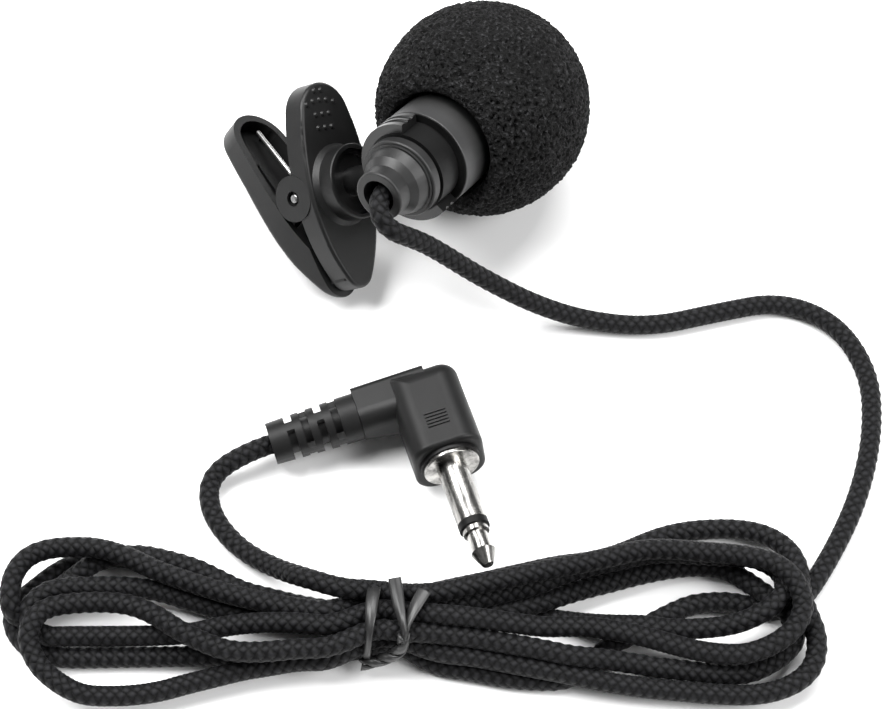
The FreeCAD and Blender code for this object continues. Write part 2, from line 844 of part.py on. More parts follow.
def make_front_jaw():
    """Leaf-shaped shell with the swivel cup outside and the hinge lugs inside."""
    depth = size("jaw_depth")
    wall = size("jaw_wall")
    half = size("jaw_half_width")
    outer = leaf_face(
        size("jaw_pad_length"), size("jaw_pad_radius"),
        size("jaw_teeth_length"), size("jaw_teeth_radius"), half,
    )
    inner = leaf_face(
        size("jaw_pad_length") - wall, size("jaw_pad_radius") - wall,
        size("jaw_teeth_length") - wall, size("jaw_teeth_radius") - wall, half - wall,
    )
    shell = slab(outer, 0, -depth)
    shell = shell.makeFillet(0.45, edges_at_height(shell, 0))
    shell = shell.cut(slab(inner, -size("jaw_face"), -depth - 1))
    # the lugs drop from the side walls to the pin
    lugs = []
    for side in (-1, 1):
        low, high = sorted((side * half, side * (half - size("lug_thickness"))))
        lugs.append(across(size("lug_radius"), pin_point, low, high))
    top_clear = Part.makeBox(40, 40, 10, Vector(-20, -20, -0.5))
    lugs = [lug.cut(top_clear) for lug in lugs]
    foot = Part.makeCone(
        size("boss_foot_radius"), size("boss_radius"), size("boss_foot_height"), Vector(0, 0, -0.05)
    )
    boss = Part.makeCylinder(size("boss_radius"), size("boss_height"))
    boss = boss.makeFillet(0.2, edges_at_height(boss, size("boss_height")))
    block_start = size("jaw_block_start")
    block_width = size("jaw_block_width")
    block_face = size("jaw_block_face")
    block_length = size("jaw_teeth_length") - wall - 0.2 - block_start
    block = Part.makeBox(
        block_length, block_width, block_face - size("jaw_block_top"),
        Vector(block_start, -block_width / 2, -block_face),
    )
    teeth = ridges(
        block_start, block_start + block_length, size("tooth_half_width"),
        0.01 - block_face, -size("jaw_tooth_tip"),
    )
    shape = shell.fuse(lugs + [foot, boss, block] + teeth + grip_dots())
    cup_floor = size("boss_height") - size("boss_cup_depth")
    cup = Part.makeCylinder(size("boss_cup_radius"), 5, Vector(0, 0, cup_floor))
    hole = Part.makeCylinder(size("post_hole_radius"), 10, Vector(0, 0, -5))
    pin_hole = across(size("pin_hole_radius"), pin_point, -half - 1, half + 1)
    shape = shape.cut([cup, hole, pin_hole])
    for side in (-1, 1):
        low, high = sorted((side * (half - size("pin_counterbore_depth")), side * (half + 1)))
        shape = shape.cut(across(size("pin_counterbore_radius"), pin_point, low, high))
    solid_node("clip_front_jaw", shape.removeSplitter(), clip)


def make_rear_jaw():
    """Leaning tray with ears on the pin, and a nose that lies along the front jaw's teeth."""
    wall = size("rear_wall")
    half = size("rear_half_width")
    nose_reach = size("rear_nose_reach")
    nose_radius = size("rear_nose_radius")
    rim = -size("rear_rim_depth")
    back = -size("rear_depth")
    outer = leaf_face(
        size("rear_pad_length"), size("rear_pad_radius"), nose_reach, nose_radius, half,
    )
    inner = leaf_face(
        size("rear_pad_length") - wall, size("rear_pad_radius") - wall,
        nose_reach - wall, nose_radius - wall, half - wall,
    )
    nose_from = size("rear_nose_from")
    deepest = -size("rear_swell_depth")
    side = [
        Vector(-20, 0, rim),
        Vector(nose_from, 0, rim),
        Vector(nose_reach, 0, -size("rear_nose_tip_top")),
        Vector(nose_reach, 0, deepest),
        Vector(size("rear_swell_end"), 0, deepest),
        Vector(size("rear_swell_start"), 0, back),
        Vector(-20, 0, back),
    ]
    side = Part.Face(Part.makePolygon(side + [side[0]]))
    side.translate(Vector(0, -10, 0))
    tray = slab(outer, rim, deepest - 1).common(side.extrude(Vector(0, 20, 0)))
    lower = [
        edge for edge in tray.Edges
        if edge.BoundBox.ZMax < back + 0.05 and edge.BoundBox.XLength > 0.05
    ]
    tray = tray.makeFillet(0.5, lower)
    pocket = slab(inner, rim + 1, back + size("rear_floor"))
    beyond = Part.makeBox(20, 20, 20, Vector(size("rear_nose_start"), -10, -15))
    tray = tray.cut(pocket.cut(beyond))
    # ears
    ears = []
    ear_outer = half - wall + 0.15
    for side in (-1, 1):
        low, high = sorted((side * ear_outer, side * (ear_outer - size("rear_ear_thickness"))))
        ear = across(size("rear_ear_radius"), Vector(), low, high)
        web = Part.makeBox(
            2 * size("rear_ear_radius"), high - low, -(back + 0.5),
            Vector(-size("rear_ear_radius"), low, back + 0.5),
        )
        ears += [ear, web]
    # teeth, drawn in the front jaw's own frame and turned into the rear jaw's
    front_to_rear = Placement(pin_point, Rotation(Vector(0, 1, 0), -size("rear_lean"))).inverse()
    teeth = ridges(
        size("jaw_block_start") + size("tooth_pitch") / 2, size("jaw_teeth_length") - 1.0,
        size("tooth_half_width"), -size("rear_teeth_face") - 0.01, -size("rear_teeth_tip"),
    )
    for tooth in teeth:
        tooth.Placement = front_to_rear * tooth.Placement
    shape = tray.fuse(ears + teeth)
    shape = shape.cut(across(size("pin_hole_radius"), Vector(), -half - 1, half + 1))
    # two round dimples on the pad and a shallow slot in the floor
    floor = back + size("rear_floor")
    for side in (-1, 1):
        shape = shape.cut(
            Part.makeCylinder(0.8, 2, Vector(-size("rear_pad_length") + 3.2, 2.3 * side, floor - 0.4))
        )
    slot = Part.makeBox(5.6, 1.0, 2, Vector(-8.6, -2.0, floor - 0.35))
    shape = shape.cut(slot)
    solid_node("clip_rear_jaw", shape.removeSplitter(), rear)


def make_pin_and_spring():
    half = size("jaw_half_width")
    reach = half - size("pin_end_depth")
    shank = across(size("pin_radius"), pin_point, -reach, reach)
    rims = [edge for edge in shank.Edges if edge.BoundBox.YLength < 0.001]
    solid_node("clip_pin", shank.makeFillet(size("pin_end_round"), rims), clip)

    radius = size("spring_coil_radius")
    wire_radius = size("spring_wire_radius")
    length = size("spring_turns") * size("spring_pitch")
    helix = Part.makeHelix(size("spring_pitch"), length, radius)
    start = Vector(radius, 0, 0)
    section = Part.Wire(Part.Circle(start, Vector(0, 1, 0), wire_radius).toShape())
    coil = Part.Wire(helix.Edges).makePipeShell([section], True, True)
    # helix axis along -Y, its start at the top of the coil and its end half a turn on
    coil.Placement = Placement(
        pin_point + Vector(0, length / 2, 0),
        Rotation(Vector(0, 0, 1), Vector(), Vector(0, -1, 0), "ZXY"),
    )
    lean = Placement(pin_point, Rotation(Vector(0, 1, 0), -size("rear_lean")))
    front_from = pin_point + Vector(0, length / 2, radius)
    front_to = front_from + Vector(-size("spring_front_leg"), 0, 0.72)
    rear_from = pin_point + Vector(0, -length / 2, -radius)
    rear_to = lean.multVec(Vector(-size("spring_rear_leg"), 0.9, -size("rear_rim_depth") - 0.7))
    legs = [cylinder(wire_radius, front_from, front_to), cylinder(wire_radius, rear_from, rear_to)]
    solid_node("clip_spring", Part.makeCompound([coil] + legs), clip)


# --------------------------------------------------------------------------------------------- plug
def tip_profile():
    return [
        (AXIS, "rod_back"),
        ("rod_radius", "rod_back"),
        ("rod_radius", "insulator_front"),
        ("tip_collar_radius", "insulator_front"),
        ("tip_collar_radius", "tip_collar_front"),
        ("tip_neck_radius", "tip_collar_front"),
        ("tip_neck_radius", "tip_shoulder_back"),
        ("tip_shoulder_radius", "tip_shoulder_front"),
        ("tip_nose_radius", "tip_front"),
        (AXIS, "tip_front"),
    ]


def make_plug_metal():
    sleeve = turned("plug_sleeve", plug, [
        ("sleeve_bore_radius", "shank_back"),
        ("shank_radius", "shank_back"),
        ("shank_radius", "flange_back"),
        ("flange_radius", "flange_back"),
        ("flange_radius", "flange_front"),
        ("sleeve_radius", "flange_front"),
        ("sleeve_radius", "sleeve_front"),
        ("sleeve_bore_radius", "sleeve_front"),
    ])
    round_edges(sleeve, "flange_rounds", 0.12, [("flange_radius", "flange_front")])
    turned("plug_insulator", plug, [
        ("rod_hole_radius", "insulator_back"),
        ("insulator_tube_radius", "insulator_back"),
        ("insulator_tube_radius", "sleeve_front"),
        ("sleeve_radius", "sleeve_front"),
        ("sleeve_radius", "insulator_front"),
        ("rod_hole_radius", "insulator_front"),
    ])
    tip = turned("plug_tip", plug, tip_profile())
    round_edges(tip, "tip_rounds", 0.25, [("tip_nose_radius", "tip_front")])
    plate = size("lug_plate")
    tip_lug = Vector(-size("tip_lug_width") / 2, -size("tip_lug_width") / 2, size("rod_back") - plate)
    sleeve_lug = Vector(
        -size("sleeve_lug_length") / 2, size("sleeve_lug_side"), size("shank_back") - plate
    )
    for lug, corner in (("tip", tip_lug), ("sleeve", sleeve_lug)):
        box = doc.addObject("Part::Box", f"{lug}_terminal")
        box.Label = f"{lug}_terminal"
        bind(box, "Length", f"{lug}_lug_length")
        bind(box, "Width", f"{lug}_lug_width")
        bind(box, "Height", "lug_plate")
        doc.recompute()
        box.Placement = plug * Placement(corner, Rotation())


def make_plug_body():
    """Right-angle overmould: a squarish leg on the shaft, an arm towards the cord, grip lines."""
    side = size("leg_half_width")
    flat = size("leg_half_height")
    back = size("leg_back")
    front = size("leg_front")
    leg = Part.makeBox(
        2 * side, flat + size("leg_base_depth"), front - back, Vector(-side, -flat, back)
    )
    outer = [edge for edge in edges_at_height(leg, back) if edge.CenterOfMass.x < 0.01 - side]
    leg = leg.makeFillet(size("leg_outer_round"), outer)
    corners = [edge for edge in leg.Edges if edge.BoundBox.ZLength > side]
    leg = leg.makeFillet(size("leg_corner_radius"), corners)
    leg = leg.makeFillet(size("leg_top_round"), edges_at_height(leg, back))
    leg = leg.makeFillet(size("leg_foot_round"), edges_at_height(leg, front))
    shoulder = Part.makeCylinder(
        size("leg_shoulder_radius"), size("leg_shoulder_front") - front + 0.5, Vector(0, 0, front - 0.5)
    )
    wide = size("arm_half_thickness")
    narrow = size("arm_half_end")

    def frame_at(x, half_y, low, high):
        corners = [
            Vector(x, -half_y, low),
            Vector(x, half_y, low),
            Vector(x, half_y, high),
            Vector(x, -half_y, high),
        ]
        return Part.makePolygon(corners + [corners[0]])

    arm = Part.makeLoft(
        [
            frame_at(-0.5, flat - 0.3, back, wide),
            frame_at(size("arm_length"), narrow, -narrow - 0.1, narrow + 0.1),
        ],
        True,
    )
    for above, radius in ((True, size("arm_front_round")), (False, size("arm_back_round"))):
        long_edges = [
            edge for edge in arm.Edges
            if edge.BoundBox.XLength > size("arm_half_thickness") + 1
            and (edge.CenterOfMass.z > 0) == above
            and abs(edge.CenterOfMass.y) > narrow
        ]
        arm = arm.makeFillet(radius, long_edges)
    body = leg.fuse([shoulder, arm])
    # short raised grip lines across the top of the leg
    length = size("grip_line_length")
    lines = []
    for index in range(int(size("grip_line_count"))):
        station = size("grip_line_middle") + (index - 2) * size("grip_line_pitch")
        line = Part.makeBox(
            length, 1.0, size("grip_line_width"),
            Vector(-length / 2, -flat - size("grip_line_height"), station),
        )
        lines.append(line)
    body = body.fuse(lines)
    bore = Part.makeCylinder(
        size("shank_radius"), 20, Vector(0, 0, size("core_back"))
    )
    cable_way = Part.makeCylinder(
        size("cord_diameter") / 2, 20, Vector(2, 0, 0), Vector(1, 0, 0)
    )
    solid_node("plug_body", body.cut([bore, cable_way]).removeSplitter(), plug)


def make_plug_core():
    """Inner mould that locks the terminals and the conductors behind the shank."""
    core = Part.makeCylinder(
        size("shank_radius"), size("shank_back") - size("core_back"),
        Vector(0, 0, size("core_back")),
    )
    terminals = []
    for label in ("tip_terminal", "sleeve_terminal"):
        shape = doc.getObject(label).Shape.copy()
        shape.Placement = plug.inverse() * doc.getObject(label).Placement
        terminals.append(shape)
    rod = Part.makeCylinder(size("rod_radius"), 10, Vector(0, 0, size("rod_back")))
    liner = Part.makeCylinder(
        size("insulator_tube_radius"), 10, Vector(0, 0, size("insulator_back"))
    )
    core = core.cut(terminals + [rod, liner])
    wires = []
    for side in (-1, 1):
        points = [
            Vector(size("shank_radius"), 0.55 * side, 0),
            Vector(1.9, 0.55 * side, 0),
            Vector(1.2, 0.55 * side, -0.45),
            Vector(0.55, 0.55 * side, -0.6),
        ]
        wires.append(tube(points, 0.28, "plug conductor")[0])
    solid_node("plug_core", core.cut(wires).removeSplitter(), plug)
    solid_node("plug_conductors", Part.makeCompound(wires), plug)


def make_strain_relief():
    """Tapered sleeve round the cord, cut into ribs by staggered side windows."""
    start = size("relief_start")
    collar_end = size("relief_collar_end")
    end = size("relief_end")
    outer = [
        Vector(start, 0, 0),
        Vector(start, 0, size("relief_start_radius")),
        Vector(collar_end, 0, size("relief_start_radius")),
        Vector(end, 0, size("relief_end_radius")),
        Vector(end, 0, 0),
    ]
    sleeve = Part.Face(Part.makePolygon(outer + [outer[0]])).revolve(Vector(), Vector(1, 0, 0), 360)
    cuts = int(size("relief_cuts"))
    pitch = (end - size("relief_end_collar") - collar_end) / cuts
    neck = size("relief_neck_radius")
    spine = size("relief_spine")
    beyond = 2 * size("relief_start_radius")
    for index in range(cuts):
        x = collar_end + index * pitch + size("relief_cut_start")
        window = Part.makeCylinder(beyond, pitch / 2, Vector(x, 0, 0), Vector(1, 0, 0))
        window = window.cut(
            Part.makeCylinder(neck, pitch / 2, Vector(x, 0, 0), Vector(1, 0, 0))
        )
        for turn in (0, 180):
            keep = Part.makeBox(pitch, 2 * spine, beyond, Vector(x - pitch / 8, -spine, 0))
            keep.rotate(Vector(), Vector(1, 0, 0), turn + 90 * (index % 2))
            window = window.cut(keep)
        sleeve = sleeve.cut(window)
    bore = Part.makeCylinder(size("relief_bore_radius"), end, Vector(start - 1, 0, 0), Vector(1, 0, 0))
    solid_node("strain_relief", sleeve.cut(bore).removeSplitter(), plug)
    inside = Part.makeCylinder(
        size("cord_diameter") / 2, end - size("shank_radius"),
        Vector(size("shank_radius"), 0, 0), Vector(1, 0, 0),
    )
    solid_node("cord_in_relief", inside, plug)


# --------------------------------------------------------------------------------------------- cord
# Routes run along the cord. Points are millimetres from the foot of the tie, except those that
# the head or the plug fixes.
CORD_MOUTH = [
    (0.0, 0.0, 20.6),
    (0.0, 0.0, 23.8),
    (0.8, -3.2, 25.2),
    (1.1, -6.6, 21.6),
]
LEAD = [
    (5.6, 41.5, 14.0),
    (10.6, 41.0, 8.8),
    (17.0, 40.0, 4.2),
    (23.5, 39.2, 1.6),
    (31.0, 38.6, 1.2),
    (39.0, 40.6, 1.2),
    (46.5, 42.2, 1.2),
    (53.0, 39.2, 1.2),
    (56.4, 32.4, 1.2),
    (56.2, 25.0, 1.2),
    (54.4, 17.8, 1.2),
    (51.4, 11.4, 1.2),
    (47.6, 6.6, 1.6),
]
TAIL = [
    (-7.5, 2.6, 4.8),
    (-12.3, 6.0, 2.6),
    (-17.0, 9.8, 1.2),
    (-20.4, 14.2, 1.2),
    (-20.6, 18.6, 1.7),
]
HANK_OUTLINE = [
    (-3.0, 3.6),
    (-20.0, 4.6),
    (-35.0, 9.8),
    (-43.4, 6.6),
    (-44.0, -3.0),
    (-38.0, -8.8),
    (-26.0, -8.9),
    (-3.0, -3.6),
    (3.0, -3.6),
    (20.0, -7.2),
    (39.0, -9.1),
    (48.6, -6.4),
    (49.2, 2.0),
    (44.0, 10.6),
    (36.0, 13.4),
    (21.0, 6.2),
    (3.0, 3.6),
]


def make_cord():
    radius = size("cord_diameter") / 2
    mouth = [head.multVec(Vector(*point)) for point in CORD_MOUTH]
    lead = mouth + [tie + Vector(*point) for point in LEAD]
    shape, lead_length = tube(lead, radius, "cord lead")
    solid_node("cord_lead", shape)
    relief_end = plug.multVec(Vector(size("relief_end"), 0, 0))
    relief_way = plug.Rotation.multVec(Vector(1, 0, 0))
    tail = [tie + Vector(*point) for point in TAIL]
    tail += [relief_end + relief_way * 3.0, relief_end]
    shape, tail_length = tube(tail, radius, "cord tail")
    solid_node("cord_tail", shape)

    height = size("hank_height")
    lobe_height = size("lobe_height")
    hank = rounded_face([tie + Vector(x, y, 0) for x, y in HANK_OUTLINE])
    hank = hank.extrude(Vector(0, 0, lobe_height))
    hank = hank.makeFillet(1.0, edges_at_height(hank, 0) + edges_at_height(hank, lobe_height))
    half = size("band_width") / 2
    inner = size("band_half_inner")
    waist = size("waist_length")
    waist_block = Part.makeBox(waist, 2 * inner, height - 0.5, tie + Vector(-waist / 2, -inner, 0.5))
    hank = hank.fuse(waist_block)
    thick = size("band_thickness")
    belt_space = Part.makeBox(2 * half, 40, 40, tie + Vector(-half, -20, -10))
    core = Part.makeBox(2 * half, 2 * inner, height - 2 * thick, tie + Vector(-half, -inner, thick))
    solid_node("cord_hank", hank.cut(belt_space.cut(core)).removeSplitter())
    outer_half = inner + thick
    band = Part.makeBox(2 * half, 2 * outer_half, height, tie + Vector(-half, -outer_half, 0))
    band = band.makeFillet(0.9, [edge for edge in band.Edges if edge.BoundBox.XLength > 1])
    band = band.cut(core)
    top = tie + Vector(0, 0, height)
    ends = []
    for reach, side in ((4.2, 1), (3.4, -1)):
        points = [
            top + Vector(0, 1.4 * side, -0.35),
            top + Vector(0.8, 2.6 * side, 0.8),
            top + Vector(2.0 + 0.2 * reach, 3.6 * side, 0.9),
        ]
        ends.append(tube(points, size("tie_wire_radius"), "tie end")[0])
    solid_node("twist_tie", band.fuse(ends).removeSplitter())
    print(f"lead {lead_length:.0f} mm, tail {tail_length:.0f} mm")


# ------------------------------------------------------------------------------------------ assembly
make_windscreen()
make_housing()
make_capsule()
make_wires()
make_rear_cap()
make_holder()
make_front_jaw()
make_rear_jaw()
make_pin_and_spring()
make_plug_metal()
make_plug_body()
make_plug_core()
make_strain_relief()
make_cord()
doc.recompute()

NODE_TYPES = ("PartDesign::Body", "Part::Feature", "Part::Box", "Part::Cylinder")
os.makedirs("parts", exist_ok=True)
nodes = [item for item in doc.Objects if item.TypeId in NODE_TYPES]
for item in doc.Objects:
    if "Invalid" in item.State or "Error" in item.State:
        raise RuntimeError(f"{item.Name} is {item.State}")
for node in nodes:
    if node.Shape.isNull() or not node.Shape.isValid():
        raise RuntimeError(f"{node.Label} has a bad shape")
for node in nodes:
    node.Shape.exportStep(f"parts/{node.Label}.step")
    print(f"{node.Label}: {len(node.Shape.Solids)} solid, {node.Shape.Volume:.2f} mm3")
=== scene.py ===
"""Lavalier microphone: foam windscreen, lapel clip, hanked braided cord and a right-angle plug."""
import json
import math

import bpy
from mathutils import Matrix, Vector, noise


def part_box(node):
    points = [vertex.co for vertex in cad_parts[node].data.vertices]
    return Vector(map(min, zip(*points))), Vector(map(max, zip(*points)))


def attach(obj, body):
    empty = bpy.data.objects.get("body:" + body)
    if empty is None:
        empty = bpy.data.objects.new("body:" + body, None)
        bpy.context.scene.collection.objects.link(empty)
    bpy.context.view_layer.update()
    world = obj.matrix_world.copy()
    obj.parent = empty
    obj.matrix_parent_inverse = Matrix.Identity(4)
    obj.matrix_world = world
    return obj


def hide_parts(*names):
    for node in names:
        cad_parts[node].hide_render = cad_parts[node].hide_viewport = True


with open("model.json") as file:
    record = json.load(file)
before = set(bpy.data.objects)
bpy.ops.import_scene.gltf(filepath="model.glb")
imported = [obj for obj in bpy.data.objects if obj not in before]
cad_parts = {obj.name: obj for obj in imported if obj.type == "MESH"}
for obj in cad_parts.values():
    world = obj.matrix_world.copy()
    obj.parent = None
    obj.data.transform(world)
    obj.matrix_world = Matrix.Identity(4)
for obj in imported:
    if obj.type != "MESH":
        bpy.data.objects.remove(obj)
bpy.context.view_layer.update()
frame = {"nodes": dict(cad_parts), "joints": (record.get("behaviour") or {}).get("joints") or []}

MM = 0.001
FLOOR_GAP = 0.02 * MM
JOINTS = {joint["name"]: joint for joint in frame["joints"]}
HEAD_AXIS = Vector(JOINTS["holder_turn"]["axis"]).normalized()
HEAD_SIDE = Vector(JOINTS["clip_swivel"]["axis"]).normalized()
FOAM_CENTRE = sum(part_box("windscreen_foam"), Vector()) / 2


# ---------------------------------------------------------------------------------------- camera
CAMERA_TARGET = Vector((4.53, -22.76, 0.0)) * MM
CAMERA_RISE = math.radians(61.0)
CAMERA_DISTANCE = 0.3
CAMERA_SENSOR = 36.0
CAMERA_LENS = 102.9
CAMERA_CLIP_START = 0.01


def make_camera():
    data = bpy.data.cameras.new("camera")
    data.sensor_width = CAMERA_SENSOR
    data.lens = CAMERA_LENS
    data.clip_start = CAMERA_CLIP_START
    camera = bpy.data.objects.new("camera", data)
    bpy.context.scene.collection.objects.link(camera)
    away = Vector((0.0, -math.cos(CAMERA_RISE), math.sin(CAMERA_RISE)))
    camera.location = CAMERA_TARGET + away * CAMERA_DISTANCE
    camera.rotation_euler = away.to_track_quat("Z", "Y").to_euler()
    bpy.context.scene.camera = camera


make_camera()


# ----------------------------------------------------------------------------------------- cord
# Control points in millimetres. MOUTH and RELIEF are in the row frame, and LEAD, HANK and TAIL
# count from the foot of the tie. HANK was not chosen by hand. Its strands were picked on the
# photo, and a separate solver placed them over the table, set the heights where they cross and
# worked out control points. They are rounded to 0.1 mm, and about 20 of them were then changed or
# left out.
TIE_FOOT = Vector((-1.67, -58.3, 0.0))
CORD_DIAMETER = 2.3
MOUTH = [
    (-1.44, -12.08, 20.05), (-3.11, -14.56, 21.21), (-1.9, -17.72, 20.05), (1.63, -17.05, 16.63),
]
LEAD = [
    (5.6, 41.5, 14.0), (10.6, 41.0, 8.8), (17.0, 40.0, 4.2), (23.5, 39.2, 1.6), (31.0, 38.6, 1.2),
    (39.0, 40.6, 1.2), (46.5, 42.2, 1.2), (53.0, 39.2, 1.2), (56.4, 32.4, 1.2), (56.2, 25.0, 1.2),
]
